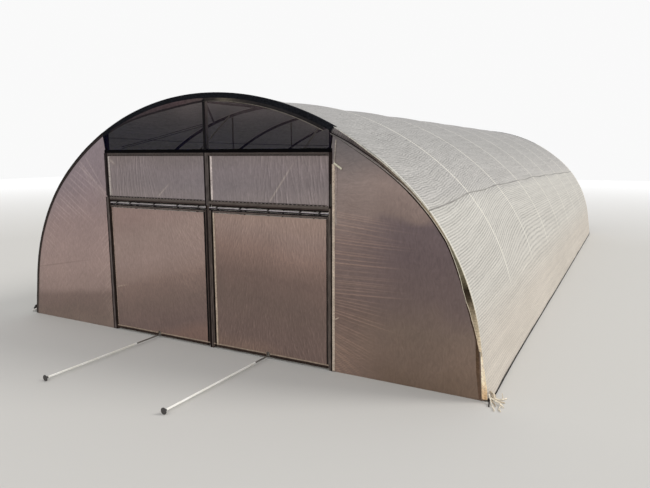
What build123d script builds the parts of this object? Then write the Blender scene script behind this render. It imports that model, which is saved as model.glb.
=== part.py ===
from build123d import *
import math
import os

# A polytunnel greenhouse: arched tube hoops under a film and net cover, with a framed front end
# that has two top-hung flap doors, each with its own prop. Millimetres, +Z up. The origin is on
# the ground under the middle of the centre door post, +X to the right of someone facing the
# front end, +Y inwards.

# Arch of the hoops, measured on the hoop tubes' centreline
half_width = 4024.0
crown_height = 3659.0
crown_angle = 42.5
haunch_radius = 3050.0
leg_lean = 8.5
hoop_tube = 50.0

# Length of the tunnel
bay_count = 8
bay_length = 2000.0

# Cover and trim
seat_gap = 0.3
cover_thickness = 5.0
film_thickness = 4.0
seam_angle = 50.0
seam_lap = 2.0
seam_strip_width = 26.0
seam_strip_height = 6.0
skirt_height = 45.0
skirt_thickness = 4.0
band_depth = 78.0
band_lip = 8.0
band_lip_drop = 40.0
band_rise = 5.0
band_half_reach = 2060.0

# Lengthwise tubes and the trusses in the inner hoops
purlin_tube = 34.0
base_rail_size = 50.0
tie_drop = 1139.0
tie_tube = 34.0
strut_place = 1050.0
strut_tube = 26.0
left_knee_foot_place = 1000.0
left_knee_head_place = 1100.0
right_knee_foot_place = 990.0
right_knee_head_place = 950.0
roof_brace_place = 1450.0
brace_tube = 30.0

# Front end frame
post_place = 2004.0
post_size = 50.0
vent_height = 256.0
header_rise = 75.0
rail_size = 50.0
film_lap = 22.0
net_flare = 95.0

# Doors
hinge_height = 2085.0
hinge_setback = 20.0
hinge_tube = 32.0
door_tube = 32.0
door_top_drop = 46.0
door_bottom_height = 40.0
door_side_gap = 8.0
clip_width = 30.0
clip_wall = 4.0
clip_web = 8.0
clip_sides = 8
clip_clearance = 0.6
clip_places = [0.07, 0.28, 0.52, 0.78, 0.93]
ring_notch_width = 64.0
ring_notch_height = 74.0

# Props: rod and sleeve with a ring at one end and a round foot at the other
left_prop_place = -1045.0
right_prop_place = 1005.0
left_prop_turn = -0.1
right_prop_turn = -1.1
prop_length = 2030.0
prop_rod = 19.0
prop_sleeve = 27.0
left_rod_length = 505.0
right_rod_length = 335.0
ring_wall = 5.0
ring_width = 24.0
foot_thickness = 5.0

# Knots of surplus film tied off at the two front corners
knot_setback = 20.0
knot_width = 200.0
knot_height = 96.0
knot_taper = 24.0
tail_width = 84.0
tail_height = 60.0

# The arch is a crown arc, a tighter haunch arc and a straight leg on each side. The crown arc's
# radius and the leg's length are those that set the feet half_width from the middle.
crown_turn = math.radians(crown_angle)
leg_turn = math.radians(90.0 - leg_lean)
crown_fall = 1 - math.cos(crown_turn)
span_left = half_width - haunch_radius * (math.sin(leg_turn) - math.sin(crown_turn))
rise_left = crown_height - haunch_radius * (math.cos(crown_turn) - math.cos(leg_turn))
spread = math.sin(crown_turn) * math.sin(leg_turn) - math.cos(leg_turn) * crown_fall
crown_radius = (span_left * math.sin(leg_turn) - rise_left * math.cos(leg_turn)) / spread
leg_length = (rise_left * math.sin(crown_turn) - span_left * crown_fall) / spread
crown_reach = crown_radius * crown_turn
haunch_reach = crown_reach + haunch_radius * (leg_turn - crown_turn)
foot_reach = haunch_reach + leg_length


def arch_point(reach, offset=0.0):
    """Point (x, z) of the arch at a distance along it from the crown, right side positive.
    offset moves it outwards from the hoop's centreline."""
    along = abs(reach)
    turn = min(along / crown_radius, crown_turn)
    x = crown_radius * math.sin(turn)
    z = crown_height - crown_radius * (1 - math.cos(turn))
    if along > crown_reach:
        haunch = min(crown_turn + (along - crown_reach) / haunch_radius, leg_turn)
        x += haunch_radius * (math.sin(haunch) - math.sin(turn))
        z -= haunch_radius * (math.cos(turn) - math.cos(haunch))
        turn = haunch
    if along > haunch_reach:
        x += (along - haunch_reach) * math.cos(leg_turn)
        z -= (along - haunch_reach) * math.sin(leg_turn)
    x += offset * math.sin(turn)
    z += offset * math.cos(turn)
    return (math.copysign(x, reach), z)


def to_ground(reach, offset):
    """The same reach, or at a foot the reach where this offset meets the ground."""
    if abs(reach) < foot_reach:
        return reach
    return math.copysign(foot_reach + offset / math.tan(leg_turn), reach)


def arch_edges(start, end, offset):
    """Edges along the arch at one offset, as arcs and straight legs in the XZ plane."""
    start = to_ground(start, offset)
    end = to_ground(end, offset)
    joins = [-haunch_reach, -crown_reach, crown_reach, haunch_reach]
    stops = [start] + [join for join in joins if start < join < end] + [end]
    edges = []
    for first, last in zip(stops, stops[1:]):
        middle = (first + last) / 2
        points = [arch_point(reach, offset) for reach in (first, middle, last)]
        points = [Vector(x, 0, z) for x, z in points]
        if abs(middle) > haunch_reach:
            edges.append(Line(points[0], points[2]).edge())
        else:
            edges.append(ThreePointArc(*points).edge())
    return edges


def arch_strip(start, end, inner, outer, front, depth):
    """Solid between two offsets of the arch, from the front plane inwards by its depth."""
    inside = arch_edges(start, end, inner)
    outside = arch_edges(start, end, outer)
    first = Line(inside[0] @ 0, outside[0] @ 0).edge()
    last = Line(inside[-1] @ 1, outside[-1] @ 1).edge()
    face = Face(Wire(inside + [last] + outside + [first]))
    return Solid.extrude(face.moved(Location((0, front, 0))), Vector(0, depth, 0))


def reach_at_turn(turn):
    """Reach of the place on the haunch arc where the arch has turned so far."""
    return crown_reach + haunch_radius * (math.radians(turn) - crown_turn)


def reach_at_x(x, offset):
    """Reach of the place on the arch that is this far from the middle, by halving."""
    low = 0.0
    high = foot_reach
    for _ in range(50):
        middle = (low + high) / 2
        if arch_point(middle, offset)[0] < abs(x):
            low = middle
        else:
            high = middle
    return middle


def arch_height(x, offset):
    """Height of the arch over a place across the tunnel."""
    return arch_point(reach_at_x(x, offset), offset)[1]


def leg_x(offset, height):
    """Place across the tunnel of the leg's line at one offset and height."""
    foot_x = arch_point(to_ground(foot_reach, offset), offset)[0]
    return foot_x - height * math.tan(math.radians(leg_lean))


def block(x, y, z):
    """Solid box from its ranges along X, Y and Z."""
    size = [abs(high - low) for low, high in (x, y, z)]
    corner = [min(pair) for pair in (x, y, z)]
    return Solid.make_box(*size).moved(Location(corner))


def single(shape):
    """The one solid of a result."""
    return shape.solids()[0]


def bar(start, end, size, sides=8, tilt=0):
    """Many-sided bar between two points, size across its flats. One flat faces upwards, or leans
    to the right by the tilt."""
    start = Vector(*start)
    end = Vector(*end)
    along = end - start
    across = Vector(0, 0, 1).cross(along) if abs(along.Z) < along.length * 0.99 else Vector(1, 0, 0)
    turn = 180 / sides + tilt
    section = RegularPolygon(size / 2, sides, major_radius=False, rotation=turn)
    section = Plane(origin=start, x_dir=across, z_dir=along) * section
    return single(extrude(section, amount=along.length))


def mirrored(solids):
    """Mirror images of solids on the other side of the tunnel."""
    return [solid.mirror(Plane.YZ) for solid in solids]


hoop_half = hoop_tube / 2
cover_inner = hoop_half + seat_gap
cover_outer = cover_inner + cover_thickness
front_face = -hoop_half
rear_face = bay_count * bay_length + hoop_half
tunnel_length = rear_face - front_face
film_front = front_face - seat_gap - film_thickness
seam_reach = reach_at_turn(seam_angle)
tie_height = crown_height - tie_drop
vent_beam_height = arch_height(post_place, -hoop_half) - vent_height
header_height = hinge_height + header_rise
nodes = {}


def hoop(index):
    """One hoop, a bent tube standing on both feet."""
    front = index * bay_length - hoop_half
    return arch_strip(-foot_reach, foot_reach, -hoop_half, hoop_half, front, hoop_tube)


def make_hoops():
    nodes["front_hoop"] = [hoop(0)]
    for index in range(1, bay_count):
        nodes[f"inner_hoop_{index}"] = [hoop(index)]
    nodes["rear_hoop"] = [hoop(bay_count)]


def make_lengthwise_tubes():
    """Ridge and side purlins under the hoops, and rails along the ground inside their feet."""
    drop = hoop_half + seat_gap + purlin_tube / 2
    purlins = []
    for reach, tilt in ((-seam_reach, -seam_angle), (0.0, 0.0), (seam_reach, seam_angle)):
        x, z = arch_point(reach, -drop)
        start = (x, front_face + post_size + seat_gap, z)
        end = (x, rear_face - post_size - seat_gap, z)
        purlins.append(bar(start, end, purlin_tube, 12, tilt))
    nodes["purlins"] = purlins
    outer_x = leg_x(-hoop_half, base_rail_size) - seat_gap
    across = (outer_x - base_rail_size, outer_x)
    rail = block(across, (front_face, rear_face), (0, base_rail_size))
    nodes["base_rails"] = mirrored([rail]) + [rail]


def make_cover():
    """Three lengths of cover that meet along the two seams, with a strip over each seam."""
    edge = seam_reach + seam_lap / 2
    inner_edge = seam_reach - seam_lap / 2
    side = arch_strip(edge, foot_reach, cover_inner, cover_outer, front_face, tunnel_length)
    nodes["left_cover"] = mirrored([side])
    nodes["right_cover"] = [side]
    top = arch_strip(-inner_edge, inner_edge, cover_inner, cover_outer, front_face, tunnel_length)
    nodes["roof_cover"] = [top]
    low = cover_outer + seat_gap
    half = seam_strip_width / 2
    strip = arch_strip(
        seam_reach - half, seam_reach + half, low, low + seam_strip_height, front_face, tunnel_length
    )
    nodes["seam_strips"] = mirrored([strip]) + [strip]
    skirt = arch_strip(
        foot_reach - skirt_height, foot_reach, low, low + skirt_thickness, front_face, tunnel_length
    )
    nodes["skirts"] = mirrored([skirt]) + [skirt]


def make_trusses():
    """A tie across each inner hoop, held up by two struts."""
    tie_x = arch_point(tie_end_reach(), -hoop_half - seat_gap)[0]
    ties = []
    struts = []
    for index in range(1, bay_count):
        y = index * bay_length
        ties.append(tie_bar(tie_x, y))
        for side in (-1, 1):
            top = arch_height(strut_place + strut_tube, -hoop_half) - seat_gap
            low = tie_height + tie_tube / 2 + seat_gap
            struts.append(bar((side * strut_place, y, low), (side * strut_place, y, top), strut_tube))
    nodes["truss_ties"] = ties
    nodes["truss_struts"] = struts


def tie_end_reach():
    """Reach along the arch of the place as high as the top of the ties."""
    low = 0.0
    high = foot_reach
    for _ in range(50):
        middle = (low + high) / 2
        if arch_point(middle, -hoop_half - seat_gap)[1] > tie_height + tie_tube / 2:
            low = middle
        else:
            high = middle
    return middle


def tie_bar(end_x, y):
    """Tie whose ends stop at the inside of the hoop."""
    return bar((-end_x, y, tie_height), (end_x, y, tie_height), tie_tube)


def make_front_braces():
    """Knee braces from the header and roof braces from the centre post, up to the first hoop.
    Their ends are cut upright, against the frame behind them and the hoop in front."""
    start_y = front_face + post_size + seat_gap
    end_y = bay_length - hoop_half - seat_gap
    trim = block((-half_width, half_width), (start_y, end_y), (0, crown_height))
    apex_x = brace_tube / 2 + seat_gap
    apex_z = arch_height(apex_x, -hoop_half) - purlin_tube - brace_tube
    runs = [
        (-left_knee_foot_place, header_height, -left_knee_head_place),
        (right_knee_foot_place, header_height, right_knee_head_place),
        (-apex_x, apex_z, -roof_brace_place),
        (apex_x, apex_z, roof_brace_place),
    ]
    braces = []
    for foot_x, foot_z, head_x in runs:
        head_z = arch_height(head_x, 0)
        slope = Vector(head_x - foot_x, end_y - start_y, head_z - foot_z)
        start = Vector(foot_x, start_y, foot_z) - slope * (brace_tube / slope.Y)
        end = Vector(head_x, end_y, head_z) + slope * (brace_tube / slope.Y)
        braces.append(single(bar(start, end, brace_tube) & trim))
    nodes["front_braces"] = braces


def post(x, front):
    """Square post from the ground to the underside of an end hoop."""
    height = crown_height
    bar = block((x - post_size / 2, x + post_size / 2), (front, front + post_size), (0, height))
    under = arch_fill(-hoop_half - seat_gap, front - 1, post_size + 2)
    return single(bar & under)


def arch_fill(offset, front, depth):
    """Everything inside the arch at one offset, as a tool for trimming."""
    edges = arch_edges(-foot_reach, foot_reach, offset)
    edges.append(Line(edges[-1] @ 1, edges[0] @ 0).edge())
    face = Face(Wire(edges)).moved(Location((0, front, 0)))
    return Solid.extrude(face, Vector(0, depth, 0))


def rails(height, front):
    """Two rails at one height, between the posts."""
    inner = post_size / 2
    outer = post_place - post_size / 2
    z = (height - rail_size / 2, height + rail_size / 2)
    rail = block((inner, outer), (front, front + rail_size), z)
    return mirrored([rail]) + [rail]


def make_end_frames():
    nodes["left_door_post"] = [post(-post_place, front_face)]
    nodes["centre_door_post"] = [post(0, front_face)]
    nodes["right_door_post"] = [post(post_place, front_face)]
    nodes["vent_beam"] = rails(vent_beam_height, front_face)
    nodes["door_header"] = rails(header_height, front_face)
    rear = rear_face - post_size
    nodes["rear_posts"] = [post(x, rear) for x in (-post_place, 0, post_place)]
    nodes["rear_rails"] = rails(vent_beam_height, rear) + rails(header_height, rear)


panel_edge = post_place + post_size / 2 - film_lap
net_edge = post_place + post_size / 2 + net_flare


def end_sheet(x, z, front):
    """Sheet of an end wall inside the arch, cut to ranges of x and z."""
    sheet = arch_fill(cover_outer, front, film_thickness)
    return single(sheet & block(x, (front - 1, front + film_thickness + 1), z))


def net_corner(side, front):
    """Slanting piece beside the top of a post, where the net reaches past it."""
    top = crown_height
    points = [(panel_edge, vent_beam_height), (net_edge, top), (panel_edge, top)]
    points = [Vector(side * x, 0, z) for x, z in points]
    face = Face(Wire.make_polygon(points, close=True)).moved(Location((0, front, 0)))
    return Solid.extrude(face, Vector(0, film_thickness, 0))


def side_panel(side, front):
    """Film between the door post and the arch, less the corner that the net fills."""
    far = half_width + hoop_tube * 4
    sheet = end_sheet((side * panel_edge, side * far), (0, crown_height), front)
    return single(sheet - net_corner(side, front))


def upper_panel(side, front):
    """Film above a doorway, lapped over the rails and posts around it."""
    inner = seat_gap / 2
    low = header_height + rail_size / 2 - film_lap
    high = vent_beam_height - rail_size / 2 + film_lap
    x = (side * inner, side * (panel_edge - seat_gap))
    return block(x, (front, front + film_thickness), (low, high))


def vent_sheet(front):
    """Net above the vent beam, with its two slanting corners beside the posts."""
    low = vent_beam_height - rail_size / 2 + film_lap + seat_gap
    clip_x = panel_edge - seat_gap
    middle = end_sheet((-clip_x, clip_x), (low, crown_height * 2), front)
    arch = arch_fill(cover_outer, front, film_thickness)
    trim = seat_gap
    shape = middle
    for side in (-1, 1):
        corner = net_corner(side, front) & arch
        corner = corner.moved(Location((-side * trim, 0, 0)))
        shape = shape + corner
    return single(shape)


def make_end_sheets():
    nodes["left_front_film"] = [side_panel(-1, film_front)]
    nodes["right_front_film"] = [side_panel(1, film_front)]
    nodes["left_upper_film"] = [upper_panel(-1, film_front)]
    nodes["right_upper_film"] = [upper_panel(1, film_front)]
    nodes["vent_net"] = [vent_sheet(film_front)]
    rear = rear_face + seat_gap
    lower = block(
        (-panel_edge + seat_gap, panel_edge - seat_gap),
        (rear, rear + film_thickness),
        (0, header_height + rail_size / 2 - film_lap - seat_gap),
    )
    nodes["rear_film"] = [side_panel(side, rear) for side in (-1, 1)]
    nodes["rear_film"] += [upper_panel(side, rear) for side in (-1, 1)] + [lower]
    nodes["rear_vent_net"] = [vent_sheet(rear)]


def arch_band(front, lip_front):
    """Net folded over the end hoop: a flange over the cover's edge and a lip down the front."""
    reach = reach_at_x(band_half_reach, cover_outer)
    low = cover_outer + seat_gap
    high = low + band_rise
    flange = arch_strip(-reach, reach, low, high, front, band_depth)
    lip = arch_strip(-reach, reach, -band_lip_drop, high, lip_front, band_lip)
    return single(flange + lip)


def make_bands():
    lip_front = film_front - seat_gap - band_lip
    nodes["front_band"] = [arch_band(lip_front, lip_front)]
    back = front_face + rear_face - lip_front
    nodes["rear_band"] = [arch_band(back - band_depth, back - band_lip)]


# Doors. Both are alike: a tube frame that hangs by clips from its own hinge tube.
door_inner = post_size / 2 + door_side_gap
door_outer = post_place - post_size / 2 - door_side_gap
door_top = hinge_height - door_top_drop
hinge_y = front_face + hinge_setback


def hinge_line(side):
    """Hinge tube over one doorway, between the posts."""
    start = (side * post_size / 2, hinge_y, hinge_height)
    end = (side * (post_place - post_size / 2), hinge_y, hinge_height)
    return bar(start, end, hinge_tube, 16)


def door_frame(side):
    """Two stiles between a top and a bottom rail, joined into one frame."""
    low_x = side * (door_inner + door_tube / 2)
    high_x = side * (door_outer - door_tube / 2)
    runs = [
        ((side * door_inner, door_top), (side * door_outer, door_top)),
        ((side * door_inner, door_bottom_height), (side * door_outer, door_bottom_height)),
        ((low_x, door_bottom_height), (low_x, door_top)),
        ((high_x, door_bottom_height), (high_x, door_top)),
    ]
    frame = None
    for (start_x, start_z), (end_x, end_z) in runs:
        tube = bar((start_x, hinge_y, start_z), (end_x, hinge_y, end_z), door_tube, 16)
        frame = tube if frame is None else frame + tube
    return single(frame)


def door_film(side, prop_x):
    """Film over the outside of a door, notched round the prop's ring."""
    back = hinge_y - door_tube / 2 - seat_gap
    low = door_bottom_height - door_tube / 2
    high = door_top - door_tube / 2 - clip_wall - 2 * seat_gap
    sheet = block((side * door_inner, side * door_outer), (back - film_thickness, back), (low, high))
    notch = block(
        (prop_x - ring_notch_width / 2, prop_x + ring_notch_width / 2),
        (back - film_thickness - 1, back + 1),
        (low - 1, low + ring_notch_height),
    )
    return single(sheet - notch)


def door_clip(x):
    """Flat clip, a profile with one eye round the hinge tube and one round the door's top rail."""
    profile = Pos(0, (hinge_height + door_top) / 2) * Rectangle(clip_web, hinge_height - door_top)
    eyes = [
        (hinge_height, hinge_tube / 2 + clip_clearance),
        (door_top, door_tube / 2 + seat_gap),
    ]
    for z, bore in eyes:
        profile += Pos(0, z) * RegularPolygon(bore + clip_wall, clip_sides, major_radius=False)
    for z, bore in eyes:
        profile -= Pos(0, z) * RegularPolygon(bore, clip_sides, major_radius=False)
    start = Plane(origin=(x - clip_width / 2, hinge_y, 0), x_dir=(0, 1, 0), z_dir=(1, 0, 0))
    return single(extrude(start * profile, amount=clip_width))


def make_doors():
    nodes["left_hinge_tube"] = [hinge_line(-1)]
    nodes["right_hinge_tube"] = [hinge_line(1)]
    width = door_outer - door_inner
    for name, side, prop_x in (("left", -1, left_prop_place), ("right", 1, right_prop_place)):
        nodes[f"{name}_door_frame"] = [door_frame(side)]
        nodes[f"{name}_door_film"] = [door_film(side, prop_x)]
        places = [side * (door_inner + share * width) for share in clip_places]
        nodes[f"{name}_door_clips"] = [door_clip(x) for x in places]


# Props. Each rings the door's bottom rail, and its foot is as high as the rail, so that it lies
# level on the ground.
foot_diameter = 2 * door_bottom_height


def prop(x, turn, rod_length):
    """Ring, thin rod, sleeve and round foot as one welded piece, lying forwards."""
    turn = math.radians(turn)
    along = Vector(math.sin(turn), -math.cos(turn), 0)
    centre = Vector(x, hinge_y, door_bottom_height)
    bore = door_tube / 2 + clip_clearance
    ring_start = Vector(x - ring_width / 2, hinge_y, door_bottom_height)
    ring_end = Vector(x + ring_width / 2, hinge_y, door_bottom_height)
    ring = bar(ring_start, ring_end, 2 * (bore + ring_wall), 12)
    end = centre + along * prop_length
    body = ring + bar(centre + along * (bore + ring_wall / 2), end, prop_rod)
    body += bar(centre + along * rod_length, end, prop_sleeve, 12)
    body += bar(end - along * foot_thickness, end, foot_diameter, 12)
    return single(body - bar(ring_start, ring_end, 2 * bore, 12))


def make_props():
    nodes["left_prop"] = [prop(left_prop_place, left_prop_turn, left_rod_length)]
    nodes["right_prop"] = [prop(right_prop_place, right_prop_turn, right_rod_length)]


def make_corner_knots():
    """Lumps of gathered film on the ground against the skirts at the front corners, each with
    the tail that is left over the tie."""
    start = leg_x(cover_outer + seat_gap + skirt_thickness + seat_gap, 0)
    x = start + knot_width / 2
    y = front_face + knot_setback + knot_width / 2
    body = RegularPolygon(knot_width / 2, 8, major_radius=False, rotation=180 / 8)
    lump = extrude(Pos(x, y) * body, amount=knot_height, taper=knot_taper)
    tail = RegularPolygon(tail_width / 2, 6, major_radius=False)
    lump += extrude(Pos(x, y, knot_height) * tail, amount=tail_height, taper=-knot_taper / 2)
    knot = single(lump)
    nodes["corner_knots"] = mirrored([knot]) + [knot]


make_hoops()
make_lengthwise_tubes()
make_cover()
make_trusses()
make_front_braces()
make_end_frames()
make_end_sheets()
make_bands()
make_doors()
make_props()
make_corner_knots()

os.makedirs("parts", exist_ok=True)
for name, solids in nodes.items():
    shape = solids[0] if len(solids) == 1 else Compound(children=solids)
    export_step(shape, f"parts/{name}.step")
print(len(nodes), "nodes")
print("crown turn", round(math.degrees(crown_turn), 2), "leg", round(leg_length, 1))
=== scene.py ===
import bpy
import math
import numpy as np
from mathutils import Matrix, Vector


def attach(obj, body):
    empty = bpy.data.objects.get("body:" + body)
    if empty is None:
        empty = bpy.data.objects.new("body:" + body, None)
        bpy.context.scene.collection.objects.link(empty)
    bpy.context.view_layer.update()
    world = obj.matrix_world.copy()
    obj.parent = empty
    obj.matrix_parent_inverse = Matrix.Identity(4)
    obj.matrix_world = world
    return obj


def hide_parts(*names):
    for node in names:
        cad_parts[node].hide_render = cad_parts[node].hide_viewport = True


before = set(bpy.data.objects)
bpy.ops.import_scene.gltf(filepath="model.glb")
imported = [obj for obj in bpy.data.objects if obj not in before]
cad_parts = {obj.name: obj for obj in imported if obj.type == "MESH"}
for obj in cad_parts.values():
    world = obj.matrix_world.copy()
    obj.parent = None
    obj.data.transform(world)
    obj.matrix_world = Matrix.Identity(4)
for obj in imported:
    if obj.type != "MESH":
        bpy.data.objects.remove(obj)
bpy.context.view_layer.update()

# Arch of the hoops, in metres, as in the part
half_width = 4.024
crown_height = 3.659
haunch_radius = 3.050
crown_turn = math.radians(42.5)
leg_turn = math.radians(81.5)
crown_fall = 1 - math.cos(crown_turn)
span_left = half_width - haunch_radius * (math.sin(leg_turn) - math.sin(crown_turn))
rise_left = crown_height - haunch_radius * (math.cos(crown_turn) - math.cos(leg_turn))
spread = math.sin(crown_turn) * math.sin(leg_turn) - math.cos(leg_turn) * crown_fall
crown_radius = (span_left * math.sin(leg_turn) - rise_left * math.cos(leg_turn)) / spread
leg_length = (rise_left * math.sin(crown_turn) - span_left * crown_fall) / spread
crown_reach = crown_radius * crown_turn
haunch_reach = crown_reach + haunch_radius * (leg_turn - crown_turn)
foot_reach = haunch_reach + leg_length
seam_reach = crown_reach + haunch_radius * (math.radians(50.0) - crown_turn)

bay = 2.0
bays = 8
front_y = -0.025
rear_y = bay * bays + 0.025
wall_y = {-1: front_y, 1: rear_y}
sides = (("left", -1), ("right", 1))
hoop_half = 0.025
fit_gap = 0.0003
purlin_drop = hoop_half + fit_gap + 0.017
purlin_reaches = (-seam_reach, 0.0, seam_reach)
cover_out = 0.0303
tube_radius = 0.0166
post_x = 2.004
post_half = 0.025
beam_z = 2.890
header_z = 2.160
hinge_z = 2.085
hinge_y = -0.005
panel_edge = post_x + post_half - 0.022
net_edge = post_x + post_half + 0.095
tie_z = 2.520
strut_x = 1.05
upper_top = 2.883
panel_top = 3.13
film_edge = 0.004
ground_gap = 0.004
wrap_top = 2.868
head_gap = 0.0503
rib_pitch = 0.034
gather_pitch = 0.019
wire_pitch = 0.062


def arch(reach, offset=0.0):
    """Place across, height and turn of the arch at a reach from the crown."""
    along = np.abs(reach)
    crown = np.minimum(along / crown_radius, crown_turn)
    haunch = np.clip(crown_turn + (along - crown_reach) / haunch_radius, crown_turn, leg_turn)
    leg = np.maximum(along - haunch_reach, 0.0)
    x = crown_radius * np.sin(crown) + haunch_radius * (np.sin(haunch) - math.sin(crown_turn))
    z = crown_height - crown_radius * (1 - np.cos(crown))
    z = z - haunch_radius * (math.cos(crown_turn) - np.cos(haunch))
    x = x + leg * math.cos(leg_turn)
    z = z - leg * math.sin(leg_turn)
    turn = np.where(along < crown_reach, crown, haunch)
    side = np.where(reach < 0, -1.0, 1.0)
    return side * (x + offset * np.sin(turn)), z + offset * np.cos(turn), side * turn


def foot(offset):
    """Reach at which this offset meets the ground."""
    return foot_reach + offset / math.tan(leg_turn)


arch_samples = np.linspace(0.0, foot_reach + 0.01, 1200)


def arch_x(z, offset):
    """Place across of the arch's right side at a height."""
    x, height, _ = arch(arch_samples, offset)
    return np.interp(-z, -height, x)


def arch_z(x, offset):
    """Height of the arch over a place across."""
    across, height, _ = arch(arch_samples, offset)
    return np.interp(np.abs(x), across, height)


def reach_at(x, offset):
    """Reach of the right side's place this far across."""
    across = arch(arch_samples, offset)[0]
    return float(np.interp(abs(x), across, arch_samples))


# Colours

def linear(red, green, blue):
    """Linear colour of an sRGB one written from 0 to 255."""
    parts = np.array([red, green, blue], float) / 255
    return np.where(parts <= 0.04045, parts / 12.92, ((parts + 0.055) / 1.055) ** 2.4)


def rgba(red, green, blue):
    return (*linear(red, green, blue), 1.0)


def ramp_colour(values, stops):
    """Colours for an array of values, from stops of a value and an sRGB colour."""
    keys = [stop[0] for stop in stops]
    shades = np.array([linear(*stop[1:]) for stop in stops])
    return np.stack([np.interp(values, keys, shades[:, i]) for i in range(3)], -1)


# Arrays of places, and fields over a sheet

def places(*parts):
    """Coordinates side by side, each stretched to the shape they share."""
    return np.stack(np.broadcast_arrays(*parts), -1)


def outward(turn):
    """Direction out of the arch."""
    return places(np.sin(turn), 0.0, np.cos(turn))


def shares(count):
    """Column of even steps from 0 to 1."""
    return np.linspace(0, 1, count)[:, None]


def ring(count):
    """Places round a circle of radius 1."""
    turn = np.linspace(0, 2 * math.pi, count, endpoint=False)
    return places(np.cos(turn), np.sin(turn))


def smooth(value):
    value = np.clip(value, 0.0, 1.0)
    return value * value * (3 - 2 * value)


def hump(share):
    """Rises from 0 to 1 and falls back while share goes from 0 to 1."""
    return np.sin(np.clip(share, 0, 1) * math.pi)


def between_hoops(y):
    """0 at each hoop and 1 midway between two."""
    return np.sin(np.pi * np.clip(y, 0, bays * bay) / bay) ** 2


def lit(folds):
    """Share of light on the creases, ready to multiply a colour."""
    return np.clip(folds, 0, 1)[..., None]


def drift(x, z, size, seed):
    """Smooth random field from -1 to 1 whose features have one size."""
    lattice = np.random.default_rng(seed).uniform(-1, 1, (64, 64))
    u = np.asarray(x) / size + 1000.5
    v = np.asarray(z) / size + 1000.5
    iu = np.floor(u).astype(int)
    iv = np.floor(v).astype(int)
    fu = smooth(u - iu)
    fv = smooth(v - iv)
    iu0, iv0, iu1, iv1 = iu % 64, iv % 64, (iu + 1) % 64, (iv + 1) % 64
    low = lattice[iu0, iv0] * (1 - fu) + lattice[iu1, iv0] * fu
    high = lattice[iu0, iv1] * (1 - fu) + lattice[iu1, iv1] * fu
    return low * (1 - fv) + high * fv


def crease(x, z, start, heading, length, width, bend=0.0):
    """Ridge, 0 to 1, of one pulled crease that starts at a point and fades along its heading."""
    dx = x - start[0]
    dz = z - start[1]
    along = dx * math.cos(heading) + dz * math.sin(heading)
    across = -dx * math.sin(heading) + dz * math.cos(heading) - bend * along * along
    fade = smooth(along / 0.05 + 0.5) * smooth((length - along) / (length * 0.6))
    return np.exp(-((across / width) ** 2)) * fade


def tufts(x, z, gap, strength, lean, length, width, seed):
    """Short strokes of stretched film over a sheet, each a ridge with a furrow beside it. Where the field tints a
    sheet, the ridges are painted highlights and the furrows painted shade.
    """
    dice = np.random.default_rng(seed)
    field = np.zeros_like(x)
    heights = z[:, 0]
    for place_z in np.arange(heights[0], heights[-1], gap[1]):
        for place_x in np.arange(x.min(), x.max(), gap[0]):
            px = place_x + dice.uniform(-0.5, 0.5) * gap[0]
            pz = place_z + dice.uniform(-0.5, 0.5) * gap[1]
            power = strength(px, pz) * dice.uniform(0.25, 1.0)
            turn = lean(px, pz) + dice.normal(0, 0.10)
            long = length * dice.uniform(0.5, 1.3)
            low, high = np.searchsorted(heights, [pz - long, pz + long])
            if power < 0.05 or high - low < 2:
                continue
            dx, dz = x[low:high] - px, z[low:high] - pz
            along = dx * math.cos(turn) + dz * math.sin(turn)
            across = -dx * math.sin(turn) + dz * math.cos(turn)
            furrow = np.exp(-(((across + 1.9 * width) / width) ** 2))
            ridge = np.exp(-((across / width) ** 2)) - 0.75 * furrow
            field[low:high] += power * ridge * np.exp(-((along / (0.5 * long)) ** 2))
    return field


# Meshes

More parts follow.
